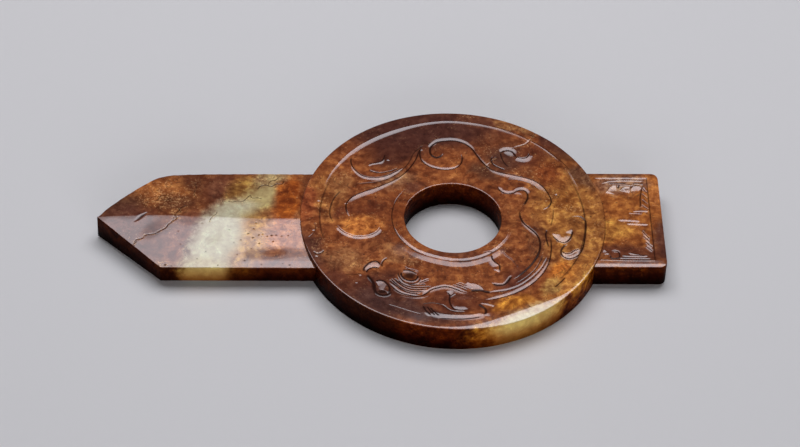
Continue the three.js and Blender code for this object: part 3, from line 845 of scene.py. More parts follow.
    def outer_rim(self) -> bpy.types.Object:
        """Makes the raised rim with its rounded edge, the wall and the border of the back."""
        angle, edge = self.angles(self.outer_columns), self.edge_round
        inner, flat = RimForm.INNER_EDGE.at(angle), self.radius - edge
        rings = self.crown(inner, flat + 0.0 * angle, self.outer_rings)
        brink = rings[-1][1]
        depth, waves, shift = self.wall_ripple
        for turn in np.linspace(0.0, QUARTER, self.brink_steps)[1:]:
            rings.append((flat + edge * math.sin(turn), brink - edge * (1.0 - math.cos(turn))))
        for share in np.linspace(0.0, 1.0, self.wall_steps)[1:-1]:
            sag = self.wall_swell * (2.0 * share - 1.0) ** 2
            ripple = depth * np.sin(waves * angle + shift * share)
            rings.append((self.radius - sag - ripple, (brink - edge) * (1.0 - share) + edge * share))
        for turn in np.linspace(QUARTER, math.pi, self.round_steps):
            rings.append((flat + edge * math.sin(turn), edge + edge * math.cos(turn)))
        return self.turned("disc_outer_rim", [*rings, (inner, 0.0)])

    def hole_rim(self) -> bpy.types.Object:
        """Makes the raised rim round the hole, with the bore and the inner border of the back."""
        angle, edge = self.angles(self.hole_columns), self.edge_round
        bore = self.hole_radius + RimForm.BORE.at(angle)
        flat = bore + edge
        crown = self.crown(flat, self.hole_rim_radius + 0.0 * angle, self.hole_rings)
        top = crown[0][1]
        depth, waves, shift = self.bore_ripple
        rings = [(self.hole_rim_radius, 0.0), (flat, 0.0)]
        for turn in np.linspace(0.0, QUARTER, self.round_steps)[1:]:
            rings.append((flat - edge * math.sin(turn), edge - edge * math.cos(turn)))
        for share in np.linspace(0.0, 1.0, self.wall_steps)[1:-1]:
            ripple = depth * np.sin(waves * angle + shift * share)
            rings.append((bore + ripple * share * (1.0 - share) * 4.0, edge + (top - 2.0 * edge) * share))
        for turn in np.linspace(QUARTER, 0.0, self.round_steps)[:-1]:
            rings.append((flat - edge * math.sin(turn), top - edge * (1.0 - math.cos(turn))))
        return self.turned("disc_hole_rim", rings + crown)

    def build(self) -> list[bpy.types.Object]:
        """Makes every region of the disc."""
        return [self.outer_rim(), self.hole_rim(), *(self.sector(*sector) for sector in self.sectors)]


@dataclass(frozen=True)
class Slab:
    """A part of the tablet: a bar whose section changes along it, from one end to the disc, in mm."""

    name: str
    centre: Point
    middle: float
    half_width: float
    joint_radius: float = 53.0
    edge_round: float = 0.35
    waves: float = 0.016
    # How many points a section has across the upper face, down a wall, under the bar and round an edge.
    across: int = 190
    down: int = 12
    under: int = 30
    round_steps: int = 5
    # The bow of the walls: its depth, its radians per mm, the half width from which it is full, and the
    # share of the wall's height that it takes.
    bow: float = 0.05
    bow_turn: float = 0.4
    bow_full: float = 6.0
    bow_share: float = 0.6

    def span(self, stations: np.ndarray) -> np.ndarray:
        """The half width at each station."""
        raise NotImplementedError

    def shift(self, along: np.ndarray, y: np.ndarray) -> np.ndarray:
        """The x of a point of a section that was drawn at one station."""
        raise NotImplementedError

    def joint_bend(self, y: np.ndarray) -> np.ndarray:
        """How far the disc's wall falls back from its foremost point, at a width y."""
        return self.joint_radius - np.sqrt(self.joint_radius**2 - np.minimum(np.abs(y), self.half_width) ** 2)

    def wear(self, x: np.ndarray, y: np.ndarray) -> np.ndarray:
        """The y of a point once use has rubbed the outline."""
        return y

    def face(self, x: np.ndarray, y: np.ndarray) -> Face:
        """The upper face's height above the table, with its dirt and painted shade, and its crust."""
        raise NotImplementedError

    def belly(self, x: np.ndarray, y: np.ndarray) -> np.ndarray:
        """The lower face's height above the table."""
        raise NotImplementedError

    def loft(self, stations: np.ndarray) -> bpy.types.Object:
        """Carries the section along the bar.

        A section is a closed loop: the upper face from one side to the other, a quarter round, the wall, a
        quarter round, the lower face back, and the same up the first side.

        Args:
            stations: the x of each section, from the free end to the disc.

        Returns:
            The piece, a closed solid.
        """
        span = self.span(stations)[:, None]
        edge = np.minimum(self.edge_round, 0.5 * span)
        flat = span - edge
        turn = np.linspace(0.0, QUARTER, self.round_steps)[None, :]
        side = flat + (span - flat) * np.sin(turn)
        ease = edge * (1.0 - np.cos(turn))
        fall = np.linspace(0.0, 1.0, self.down)[None, 1:-1]
        upper = flat * np.linspace(1.0, -1.0, self.across)[None, :]
        lower = flat * np.linspace(-1.0, 1.0, self.under)[None, :]

        def drawn(y: np.ndarray) -> np.ndarray:
            """The x of points at a width y, drawn at the stations."""
            return self.shift(stations[:, None], y)

        def wall(sign: float) -> tuple[np.ndarray, np.ndarray, np.ndarray]:
            """The x, y and height of one side, from the upper face down to the lower."""
            brink, plain = sign * flat, np.repeat(sign * span, fall.shape[1], 1)
            high, low = self.face(drawn(brink), brink)[0], self.belly(drawn(brink), brink)
            y = np.hstack([sign * side[:, 1:], plain, sign * side[:, ::-1][:, :-1]])
            middle = (high - edge) * (1.0 - fall) + (low + edge) * fall
            z = np.hstack([high - ease[:, 1:], middle, low + ease[:, ::-1][:, :-1]])
            x = np.repeat(drawn(sign * span), y.shape[1], 1)
            bow = self.bow * np.sin(self.bow_turn * x + z) * np.minimum(span / self.bow_full, 1.0)
            bowed = np.abs(2.0 * z - high - low) < self.bow_share * (high - low)
            return x, y + sign * bow * bowed, z

        left, right = wall(-1.0), [part[:, ::-1] for part in wall(1.0)]
        z_upper, grime_and_shade_upper = self.face(drawn(upper), upper)
        x = np.hstack([drawn(upper), left[0], drawn(lower), right[0]])
        y = np.hstack([upper, left[1], lower, right[1]])
        z = np.hstack([z_upper, left[2], self.belly(drawn(lower), lower), right[2]])
        grime_and_shade = np.zeros((*x.shape, 2))
        grime_and_shade[:, : self.across] = grime_and_shade_upper
        spots = [x + self.centre[0], self.wear(x, y) + self.centre[1], z]
        points = np.stack(spots, axis=-1).reshape(-1, 3) * MM
        numbers = np.arange(x.size).reshape(x.shape)
        quads = Solids.sheet(np.hstack([numbers, numbers[:, :1]]))
        caps = [numbers[0], numbers[-1][::-1]]
        if stations[-1] > stations[0]:
            quads, caps = quads[:, ::-1], [cap[::-1] for cap in caps]
        piece = Solids.mesh(self.name, points, quads, caps)
        Solids.paint(piece, grime_and_shade.reshape(-1, 2))
        return piece


@dataclass(frozen=True)
class Blade(Slab):
    """The pointed blade with its median ridge, flatter by the disc and bevelled along its near edge."""

    tip: float = -127.8
    tip_share: float = 0.004
    shoulder: float = -104.5
    bend_start: float = 0.6
    ridge_rise: float = 4.8
    edge_rise: float = 3.4
    ridge_flat: float = 0.4
    ridge_drift: float = 1.5
    drift_middle: float = -104.0
    drift_reach: float = 24.0
    bevel_width: float = 3.0
    bevel_drop: float = 0.24
    crown_width: float = 10.6
    crown_rise: float = 0.13
    ease: float = 8.0
    near_start: float = -80.0
    # Sections from the tip to the shoulder, crowded at the tip by a power, and from there to the disc.
    tip_sections: int = 90
    tip_power: float = 1.1
    body_sections: int = 200
    far_side: Path = (
        (-127.8, 0.1), (-124, 5.0), (-120, 9.4), (-115, 14.5), (-110, 19), (-107.5, 21), (-105, 22.3),
        (-102, 23.1), (-97, 23.5), (-88, 23.8), (-70, 24), (-53, 24),
    )
    far_side_start: float = 3.0
    far_side_blur: tuple[float, ...] = (-1.2, -0.6, 0.0, 0.6, 1.2)
    # The nicks along the far side are two waves: depth, radians per mm and phase.
    nicks: tuple[tuple[float, float, float], ...] = ((0.04, 1.1, 0.0), (0.03, 2.3, 1.0))

    def span(self, stations: np.ndarray) -> np.ndarray:
        """Widens in a straight line from the tip to the shoulder, then stays."""
        share = (stations - self.tip) / (self.shoulder - self.tip)
        return self.half_width * np.clip(share, self.tip_share, 1.0)

    def shift(self, along: np.ndarray, y: np.ndarray) -> np.ndarray:
        """Bends the last sections so that the end follows the disc's wall."""
        start = self.tip + self.bend_start * (-self.joint_radius - self.tip)
        return along + smoothstep((along - start) / (-self.joint_radius - start)) * self.joint_bend(y)

    def wear(self, x: np.ndarray, y: np.ndarray) -> np.ndarray:
        """The far side follows an outline of its own, which is rubbed round at the shoulder."""
        xs, ys = zip(*self.far_side)
        span = self.span(x)
        reads = [np.interp(x + off, xs, ys) for off in self.far_side_blur]
        gain = (sum(reads) / len(reads) / span - 1.0) * smoothstep((x - self.tip) / self.far_side_start)
        nick = sum(depth * np.sin(turn * x + phase) for depth, turn, phase in self.nicks)
        share = np.clip(y / span, 0.0, 1.0) ** 2
        return y * (1.0 + gain * share) + nick * share

    def ridge(self, x: np.ndarray) -> np.ndarray:
        """The ridge wanders a little off the middle: nought at the disc, most near the shoulder."""
        return self.ridge_drift * np.exp(-(((x - self.drift_middle) / self.drift_reach) ** 2))

    def slope(self, off: np.ndarray, reach: np.ndarray | float) -> np.ndarray:
        """The share of the way down from a slightly rounded ridge to the edge."""
        return (np.sqrt(off**2 + self.ridge_flat**2) - self.ridge_flat) / reach

    def face(self, x: np.ndarray, y: np.ndarray) -> Face:
        """Two slopes that fall from the ridge, the near one fuller by the disc and then bevelled."""
        ridge = self.ridge(x)
        off, edge = y - ridge, y + self.half_width
        slope = self.slope(off, np.where(off > 0, self.half_width - ridge, self.half_width + ridge))
        height, grime_and_shade = carve(Relief.BLADE, x, y)
        near = self.bevel_drop * np.clip(1.0 - edge / self.bevel_width, 0.0, 1.0)
        near = near - self.crown_rise * smoothstep((self.crown_width - edge) / self.ease)
        near = near * smoothstep((x - self.near_start) / self.ease)
        z = self.middle + self.ridge_rise - (self.ridge_rise - self.edge_rise) * slope
        return z + height - near + waver(x, y, self.waves), grime_and_shade

    def belly(self, x: np.ndarray, y: np.ndarray) -> np.ndarray:
        """The lower face is the upper one turned over, with a straight ridge and without flaws."""
        slope = self.slope(y, self.half_width)
        return self.middle - self.ridge_rise + (self.ridge_rise - self.edge_rise) * slope

    def build(self) -> bpy.types.Object:
        """Makes the blade, with closer sections at the tip."""
        share = np.linspace(0.0, 1.0, self.tip_sections) ** self.tip_power
        point = self.tip + (self.shoulder - self.tip) * share
        body = np.linspace(self.shoulder, -self.joint_radius, self.body_sections)[1:]
        return self.loft(np.concatenate([point, body]))


@dataclass(frozen=True)
class Butt(Slab):
    """The squared butt with its sunk and carved panel."""

    end: float = 75.8
    corner: float = 2.6
    rise: float = 4.6
    panel_far: float = 21.6
    panel_near: float = -20.2
    panel_end: float = 72.0
    panel_drop: float = 0.32
    panel_brim: float = 0.02
    far_ripple: float = 0.06
    far_ripple_turn: float = 1.7
    far_share: float = 0.25
    far_step: float = 0.7
    far_slope: float = 8.0
    far_start: float = 51.0
    far_start_reach: float = 4.0
    near_step: float = 0.4
    end_step: float = 0.5
    lip_drop: float = 0.25
    lip_width: float = 1.2
    # The dirt and painted shade along the foot of the panel's end and near walls: how dark, how far off
    # the wall, and how far it spreads.
    end_dirt_and_shade: tuple[float, float, float] = (0.7, 0.4, 0.08)
    near_dirt_and_shade: tuple[float, float, float] = (0.9, 0.2, 0.06)
    # The near edge's bevels: the width and the slope of each.
    bevels: tuple[Point, ...] = ((1.4, 0.15), (3.3, 0.026))
    sections: int = 140
    corner_sections: int = 18

    def span(self, stations: np.ndarray) -> np.ndarray:
        """Full width but at the end, where the corners are quarter circles."""
        into = np.clip((stations - (self.end - self.corner)) / self.corner, 0.0, 1.0)
        return self.half_width - self.corner + self.corner * np.sqrt(1.0 - into**2)

    def shift(self, along: np.ndarray, y: np.ndarray) -> np.ndarray:
        """Bends the first sections so that the end follows the disc's wall."""
        share = (along - self.joint_radius) / (self.end - self.corner - self.joint_radius)
        return along - (1.0 - smoothstep(share)) * self.joint_bend(y)

    def face(self, x: np.ndarray, y: np.ndarray) -> Face:
        """A border with a bevelled near edge, round a panel sunk by one drop. Its far wall has two steps."""
        edge = self.panel_far + self.far_ripple * np.sin(self.far_ripple_turn * x) - y
        far = self.far_share * np.clip(edge / self.far_step, 0.0, 1.0)
        far = far * smoothstep((x - self.far_start) / self.far_start_reach)
        far = far + (1.0 - self.far_share) * smoothstep(edge / self.far_slope)
        near, end = y - self.panel_near, self.panel_end - x
        depth = np.minimum(far, smoothstep(near / self.near_step))
        depth = np.minimum(depth, smoothstep(end / self.end_step))
        height, grime_and_shade = carve(Relief.BUTT, x, y)
        # The foot of the panel's end and near walls is painted dark: dirt and painted shade.
        for off, within, (dark, place, spread) in (
            (end, depth > self.panel_brim, self.end_dirt_and_shade),
            (near, x < self.panel_end, self.near_dirt_and_shade),
        ):
            dirt_and_shade = dark * np.exp(-((off - place) ** 2) / spread) * within
            grime_and_shade[..., 0] = np.maximum(grime_and_shade[..., 0], dirt_and_shade)
        off = y + self.half_width
        bevel = sum(slope * np.clip(width - off, 0.0, None) for width, slope in self.bevels)
        lip = self.lip_drop * np.clip(1.0 - (self.end - x) / self.lip_width, 0.0, 1.0) ** 2
        z = self.middle + self.rise - self.panel_drop * depth + height - bevel - lip
        return z + waver(x, y, self.waves), grime_and_shade

    def belly(self, x: np.ndarray, y: np.ndarray) -> np.ndarray:
        """The lower face is flat."""
        return self.middle - self.rise + 0.0 * (x + y)

    def build(self) -> bpy.types.Object:
        """Makes the butt, with closer sections round its corners."""
        body = np.linspace(self.joint_radius, self.end - self.corner, self.sections)
        turn = np.sin(np.linspace(0.0, QUARTER, self.corner_sections))[1:]
        return self.loft(np.concatenate([body, self.end - self.corner + self.corner * turn])[::-1])


class Shade:
    """A socket of a node tree that takes part in sums written in Python."""

    def __init__(self, tree: "Tree", socket: bpy.types.NodeSocket) -> None:
        """Holds the socket and the tree it belongs to."""
        self.tree = tree
        self.socket = socket

    def __add__(self, other: object) -> "Shade":
        """This plus the other."""
        return self.tree.maths("ADD", self, other)

    __radd__ = __add__

    def __mul__(self, other: object) -> "Shade":
        """This times the other."""
        return self.tree.maths("MULTIPLY", self, other)

    __rmul__ = __mul__

    def __sub__(self, other: object) -> "Shade":
        """This less the other."""
        return self.tree.maths("SUBTRACT", self, other)

    def __rsub__(self, other: object) -> "Shade":
        """The other less this."""
        return self.tree.maths("SUBTRACT", other, self)

    def __abs__(self) -> "Shade":
        """This without its sign."""
        return self.tree.maths("ABSOLUTE", self)


class Tree:
    """Writes a material's nodes."""

    def __init__(self, material: bpy.types.Material) -> None:
        """Empties the material's tree."""
        material.use_nodes = True
        self.tree = material.node_tree
        self.tree.nodes.clear()

    def node(self, kind: str, settings: dict, inputs: dict, output: int | str = 0) -> Shade:
        """Adds a node.

        Args:
            kind: the node's type.
            settings: its own properties, which are set first.
            inputs: the value or link of each socket, by name or number.
            output: which of its outputs is returned.

        Returns:
            That output.
        """
        made = self.tree.nodes.new(f"ShaderNode{kind}")
        for name, value in settings.items():
            setattr(made, name, value)
        for name, value in inputs.items():
            if isinstance(value, Shade):
                self.tree.links.new(value.socket, made.inputs[name])
            else:
                made.inputs[name].default_value = value
        return Shade(self, made.outputs[output])

    def surface(self, inputs: dict) -> None:
        """Ends the material with a principled shader."""
        shader = self.node("BsdfPrincipled", {}, inputs)
        out = self.tree.nodes.new("ShaderNodeOutputMaterial")
        self.tree.links.new(shader.socket, out.inputs["Surface"])

    def maths(self, operation: str, *values: object) -> Shade:
        """Adds a Math node."""
        return self.node("Math", {"operation": operation}, dict(enumerate(values)))

    def vector(self, operation: str, *values: object, output: int = 0) -> Shade:
        """Adds a Vector Math node."""
        return self.node("VectorMath", {"operation": operation}, dict(enumerate(values)), output)

    def mix(self, share: object, first: object, second: object) -> Shade:
        """Blends two colours, written as three numbers or linked."""
        sides = [(*side, 1.0) if isinstance(side, tuple) else side for side in (first, second)]
        settings = {"data_type": "RGBA", "clamp_factor": True}
        return self.node("Mix", settings, {0: share, 6: sides[0], 7: sides[1]}, 2)

    def tint(self, colour: Shade, factors: Colour) -> Shade:
        """Multiplies a colour by three numbers."""
        return self.vector("MULTIPLY", colour, factors)

    def noise(
        self, vector: Shade, scale: float, detail: float, rough: float, twist: float = 0.0, output: int = 0
    ) -> Shade:
        """A noise about 0.5, as a value or as a colour (output 1), whose scale is in waves per millimetre."""
        inputs = {"Vector": vector, "Scale": scale, "Detail": detail, "Roughness": rough, "Distortion": twist}
        return self.node("TexNoise", {}, inputs, output)

    def step(self, value: Shade, low: float, high: float, to_low: float = 0.0, to_high: float = 1.0) -> Shade:
        """Eases from one number to another as a value goes from low to high."""
        inputs = {0: value, 1: low, 2: high, 3: to_low, 4: to_high}
        return self.node("MapRange", {"interpolation_type": "SMOOTHSTEP"}, inputs)

    def stored(self, name: str) -> Shade:
        """Reads a value that is stored on the mesh's points."""
        return self.node("Attribute", {"attribute_name": name}, {}, "Fac")

    def part(self, kind: str, whole: Shade, output: int) -> Shade:
        """Takes one of the three numbers of a colour or of a vector."""
        return self.node(f"Separate{kind}", {}, {0: whole}, output)


@dataclass(frozen=True)
class Stain:
    """An oval area of another colour in the stone, in mm from the disc's axis."""

    centre: Point
    radii: Point
    colour: Colour
    turn: float = 0.0
    strength: float = 0.85
    soft: float = 0.5

    def reaches(self, plan: np.ndarray, margin: float) -> bool:
        """Tells whether the oval gets to any of some points.

        Args:
            plan: the points' x and y in mm from the disc's axis, one row each.
            margin: how far the oval's soft edge may be pushed about, in mm.

        Returns:
            Whether the oval, its soft edge and the margin cover any point.
        """
        radii = tuple(radius * (1.0 + self.soft) + margin for radius in self.radii)
        u, v = oval(*plan.T, self.centre, radii, self.turn)
        return bool((u * u + v * v < 1.0).any())


@dataclass(frozen=True)
class Jade:
    """A polished, mottled nephrite."""

    name: str
    body: Colour
    stains: tuple[Stain, ...]
    slot: str = "russet_jade"
    sway: tuple[float, float, float] = (12.0, 12.0, 8.0)
    dark: Colour = (0.035, 0.011, 0.008)
    crumb: Colour = (0.72, 0.42, 0.18)
    # The colour of the dirt and painted shade in cuts, creases and hollows.
    soil_and_shade: Colour = (0.022, 0.007, 0.005)
    roughness: float = 0.17

    def patches(self, tree: Tree, mm: Shade) -> Shade:
        """Lays the ovals over the body colour, each with an edge that a noise pushes about."""
        sway = tree.vector("SUBTRACT", tree.noise(mm, 0.1, 5.0, 0.6, output=1), (0.5, 0.5, 0.5))
        bent = tree.vector("ADD", tree.vector("MULTIPLY", sway, self.sway), mm)
        colour = tree.mix(0.0, self.body, self.body)
        for stain in self.stains:
            inputs = {
                "Vector": bent,
                "Location": (*stain.centre, 0.0),
                "Rotation": (0.0, 0.0, math.radians(stain.turn)),
                "Scale": (*stain.radii, 1e3),
            }
            local = tree.node("Mapping", {"vector_type": "TEXTURE"}, inputs)
            off = tree.vector("LENGTH", local, output=1)
            share = tree.step(off, 1.0 - stain.soft, 1.0 + stain.soft, stain.strength, 0.0)
            colour = tree.mix(share, colour, stain.colour)
        return colour

    def near(self, piece: bpy.types.Object, centre: Point) -> "Jade":
        """Keeps to the stains that get to a piece, under a name of its own.

        Args:
            piece: the piece.
            centre: the disc's axis in the part's frame, in mm.

        Returns:
            The same jade with fewer stains, which looks the same on that piece.
        """
        points = np.empty(3 * len(piece.data.vertices), np.float32)
        piece.data.vertices.foreach_get("co", points)
        plan = points.reshape(-1, 3)[:, :2] / MM - centre
        stains = tuple(stain for stain in self.stains if stain.reaches(plan, self.sway[0] / 2.0))
        return replace(self, name=f"{self.name}_{piece.name}", stains=stains)

    def material(self, centre: Point) -> bpy.types.Material:
        """Writes the material: patches, clouds, grain, veins, crumbs, pits, dirt and painted shade, painted
        wall light.

        Args:
            centre: the disc's axis in the part's frame, in mm.

        Returns:
            The material.
        """
        material = bpy.data.materials.new(self.name)
        tree = Tree(material)
        place = tree.node("TexCoord", {}, {}, "Object")
        away = (-centre[0], -centre[1], 0.0)
        mm = tree.node("Mapping", {}, {"Vector": place, "Location": away, "Scale": (1e3, 1e3, 1e3)})
        cloud = tree.noise(mm, 0.13, 8.0, 0.62, 1.2)
        grain = tree.noise(mm, 0.4, 6.0, 0.57, 0.25)
        fleck = tree.noise(mm, 1.5, 5.0, 0.7, 0.6)
        colour = self.patches(tree, mm)
        green = tree.part("Color", colour, 1)
        calm = tree.step(green, 0.22, 0.45, 1.0, 0.3) * tree.step(green, 0.02, 0.1, 0.6, 1.0)
        # Each mottling: its noise, where it starts and is full, its strength, and what it does to the colour.
        for noise, start, full, strength, factors in (
            (cloud, 0.5, 0.34, 0.75, (0.4, 0.3, 0.28)),
            (cloud, 0.5, 0.68, 0.85, (1.55, 1.75, 1.6)),
            (grain, 0.51, 0.38, 0.6, (0.42, 0.28, 0.24)),
            (grain, 0.51, 0.63, 0.68, (1.6, 1.95, 1.9)),
        ):
            share = tree.step(noise, start, full) * calm * strength
            colour = tree.mix(share, colour, tree.tint(colour, factors))
        vein = abs(tree.noise(mm, 0.07, 4.0, 0.55, 1.6) - 0.5)
        vein = tree.step(vein, 0.0, 0.012, 1.0, 0.0) * tree.step(grain, 0.4, 0.55)
        colour = tree.mix(vein * calm * 0.6, colour, self.dark)
        crust = tree.stored("crust")
        nest = tree.step(tree.noise(mm, 0.1, 3.0, 0.5), 0.45, 0.58) * calm
        crumbs = tree.noise(mm, 1.15, 4.0, 0.75, 0.4) + crust * 0.1
        crumbs = tree.step(crumbs, 0.6, 0.645) * (nest + crust)
        cream = tree.mix(0.5, self.crumb, tree.tint(colour, (2.0, 2.2, 2.2)))
        colour = tree.mix(crumbs * 0.9, colour, cream)
        pits = tree.step(tree.noise(mm, 0.85, 3.0, 0.5), 0.35, 0.28) * calm
        colour = tree.mix(pits * 0.7, colour, self.dark)
        # Cuts, creases and hollows are painted dark with dirt and painted shade, and are rougher with less
        # coat.
        dirt_and_shade = tree.step(tree.stored("dirt_and_shade"), 0.05, 0.9)
        colour = tree.mix(dirt_and_shade * 0.92, colour, self.soil_and_shade)
        # Painted light and shade on the walls: a painted glow in the stone's colour, painted darker and
        # redder further down, and brighter where the stone is pale.
        facing = abs(tree.part("XYZ", tree.node("TexCoord", {}, {}, "Normal"), 2))
        side = tree.step(facing, 0.8, 0.45)
        height = tree.part("XYZ", mm, 2)
        dusk = tree.step(green, 0.1, 0.48, 1.0, 0.0)
        shaded_wall_colour = tree.node("Gamma", {}, {0: colour, 1: dusk * 0.35 + 1.0})
        warm, red = tree.tint(shaded_wall_colour, (1.0, 0.82, 0.44)), tree.tint(shaded_wall_colour, (1.0, 0.4, 0.12))
        shaded_wall_colour = tree.mix(tree.step(height, 9.0, 1.0), warm, red)
        # The painted light level of the walls: dim at the foot and full near the top.
        painted_wall_light = tree.step(height, 0.0, 9.5, 0.2, 1.0) * (1.0 - dusk)
        painted_wall_light = painted_wall_light + tree.step(height, 1.0, 10.0, 0.03, 0.42) * dusk
        colour = tree.mix(side, colour, tree.mix(painted_wall_light, (0.0, 0.0, 0.0), shaded_wall_colour))
        rough = tree.step(grain, 0.3, 0.8, self.roughness - 0.04, self.roughness + 0.08)
        relief = grain * 0.6 + fleck * 0.4 - pits + crumbs * 0.3
        tree.surface({
            "Base Color": colour,
            "Roughness": rough + dirt_and_shade * 0.2 + side * 0.12,
            "Specular IOR Level": 0.01,
            "Coat Weight": (1.0 - side) * (1.0 - dirt_and_shade * 0.9),
            "Coat Roughness": 0.05,
            "Coat IOR": 1.78,
            "Normal": tree.node("Bump", {}, {"Strength": 0.15, "Distance": 0.0003, "Height": relief}),
        })
        return material


class Finishes:
    """The jade of each part of the stone."""

    # The disc: russet, dark mauve at the top and lower left, honey on the right, cream below.
    RUSSET = Jade("russet_jade", (0.31, 0.083, 0.024), (
        Stain((-12, 47), (32, 12), (0.08, 0.024, 0.018), 0, 0.92),
        Stain((-21, 35), (10, 9), (0.085, 0.022, 0.014), 20),
        Stain((10, 53), (8, 4), (0.16, 0.048, 0.024)),
        Stain((24.5, 48.5), (9, 4.5), (0.31, 0.115, 0.04), -30, 0.9, 0.2),
        Stain((40, 37.5), (10, 5.5), (0.085, 0.024, 0.016), -48, 0.92, 0.2),
        Stain((21, 31), (8, 7), (0.095, 0.034, 0.022), -10),
        Stain((33, 30), (7, 8), (0.16, 0.036, 0.014), 20),
        Stain((12, 23), (6, 4), (0.11, 0.036, 0.018), -30),
        Stain((-20, 19), (7, 3.5), (0.38, 0.16, 0.07), 30),
        Stain((-14, 16), (4, 3), (0.16, 0.05, 0.03), 30, 0.7),
        Stain((-46, 10), (7, 13), (0.37, 0.12, 0.032), 5),
        Stain((-40, 15), (4, 6), (0.4, 0.15, 0.05), -20, 0.8),
        Stain((-53, 9), (4, 12), (0.37, 0.085, 0.027), 6),
        Stain((-39, 0), (4, 4), (0.19, 0.045, 0.018)),
        Stain((-30, 5), (7, 4), (0.17, 0.036, 0.012), 10),
        Stain((-33, -4), (8, 4.5), (0.72, 0.23, 0.05), 6, 0.95),
        Stain((-31, -14), (11, 4.5), (0.34, 0.1, 0.032), 8, 0.8),
        Stain((-20, -18), (6, 4), (0.44, 0.17, 0.06), -20, 0.8),
        Stain((-52, -16), (5, 9), (0.12, 0.04, 0.026), 20),
        Stain((-40, -21), (7, 5), (0.38, 0.145, 0.055), -10),
        Stain((-38, -36), (16, 7), (0.15, 0.04, 0.02), -42),
        Stain((-27, -33), (8, 7), (0.11, 0.03, 0.018), 0, 0.8),
        Stain((-18, -45), (20, 6), (0.095, 0.036, 0.028), -14, 0.92),
        Stain((0, -41), (11, 5), (0.16, 0.038, 0.016)),
        Stain((-20, -1), (3, 14), (0.24, 0.055, 0.014), 0, 0.8),
        Stain((43, -2), (14, 28), (0.47, 0.175, 0.04), 4, 0.9),
        Stain((36, 23), (5, 6), (0.28, 0.06, 0.015), 20),
        Stain((41, 9), (4, 5), (0.32, 0.096, 0.018), 0, 0.8),
        Stain((0, -19), (9, 2.4), (0.2, 0.062, 0.03), 0, 0.8),
        Stain((48, 21), (4, 7), (0.15, 0.058, 0.03), 24),
        Stain((20, -3), (4, 12), (0.36, 0.105, 0.03), 0, 0.75),
        Stain((30, -12), (3.5, 10), (0.19, 0.055, 0.024), 0, 0.7),
        Stain((21, -31), (7, 4), (0.16, 0.04, 0.022), 30),
        Stain((38, -27), (6, 4), (0.72, 0.21, 0.03), 40, 0.9),
        Stain((20, -42), (8, 3.4), (0.7, 0.25, 0.034), 18, 0.95),
        Stain((30, -37), (6, 4), (0.27, 0.07, 0.017), 36),
        Stain((34, -34), (5, 3), (0.42, 0.21, 0.06), 40, 0.7),
        Stain((24, -52), (30, 8), (0.52, 0.19, 0.04), 28, 0.9, 0.3),
        Stain((48, -31), (12, 8), (0.5, 0.18, 0.04), 56),
        Stain((11, -55.5), (11, 3.6), (0.62, 0.32, 0.09), 12, 0.9),
        Stain((26.5, -51.2), (14, 6), (0.76, 0.65, 0.36), 27, 1.0),
        Stain((48, -31.5), (12, 3.4), (0.7, 0.34, 0.075), 56, 0.9, 0.35),
    ))
    # The butt: honey in the middle, dark along its near and right borders.
    HONEY = Jade("honey_jade", (0.42, 0.125, 0.027), (
        Stain((48, 14), (5, 12), (0.4, 0.14, 0.032), 10, 0.8),
        Stain((57, -4), (8, 5), (0.66, 0.27, 0.052), 0, 0.9),
        Stain((62.5, 18), (9, 4), (0.42, 0.23, 0.14), 0, 0.7),
        Stain((62, -17), (14, 4.5), (0.15, 0.038, 0.018), 0, 0.9),
        Stain((62, -25), (24, 3), (0.15, 0.04, 0.02), 0, 0.9, 0.3),
        Stain((76, -10), (4, 12), (0.11, 0.034, 0.024), 0, 0.9),
        Stain((75, 12), (3, 8), (0.56, 0.18, 0.045)),
        Stain((62, 23.4), (12, 2.4), (0.2, 0.066, 0.028), 0, 0.8),
    ))
    # The blade: russet and brown, with a celadon band that runs cream over the near facet.
    PALE = Jade("pale_jade", (0.24, 0.068, 0.021), (
        Stain((-107, 14), (11, 7), (0.47, 0.15, 0.04), 0, 0.92),
        Stain((-94, 19), (4, 5), (0.1, 0.024, 0.01)),
        Stain((-119, 5), (9, 6), (0.11, 0.04, 0.02), 30),
        Stain((-99, 8), (7, 4), (0.16, 0.05, 0.02), 0, 0.8),
        Stain((-101, -25), (6, 3), (0.3, 0.12, 0.045)),
        Stain((-84, 15), (6, 8), (0.2, 0.062, 0.03), -10, 0.92),
        Stain((-112, -9), (17, 12), (0.15, 0.045, 0.03), -30, 0.9),
        Stain((-96, -10), (6, 12), (0.25, 0.08, 0.05), -16, 0.8),
        Stain((-62, -8), (9, 10), (0.58, 0.2, 0.09), 0, 0.88),
        Stain((-64, -18), (12, 4), (0.25, 0.075, 0.03), 0, 0.9),
        Stain((-74, -10), (6, 13), (0.66, 0.33, 0.09), -14, 0.85, 0.7),
        Stain((-76, 14), (5, 8), (0.46, 0.22, 0.05), -24),
        Stain((-71, 10), (14, 5), (0.62, 0.48, 0.21), 50, 0.9, 0.65),
        Stain((-60, 10), (5, 13), (0.4, 0.085, 0.012), -8, 0.95, 0.35),
        Stain((-66, 21), (6, 3.4), (0.46, 0.29, 0.13), 20),
        Stain((-76, 6), (5, 3.4), (0.64, 0.57, 0.38), 20, 0.9, 0.8),
        Stain((-85, -10), (8, 17), (0.64, 0.59, 0.4), -18, 1.0, 0.42),
        Stain((-89, -24), (8, 5), (0.6, 0.5, 0.28), 0, 0.95),
    ), slot="pale_jade", sway=(6.0, 6.0, 6.0))


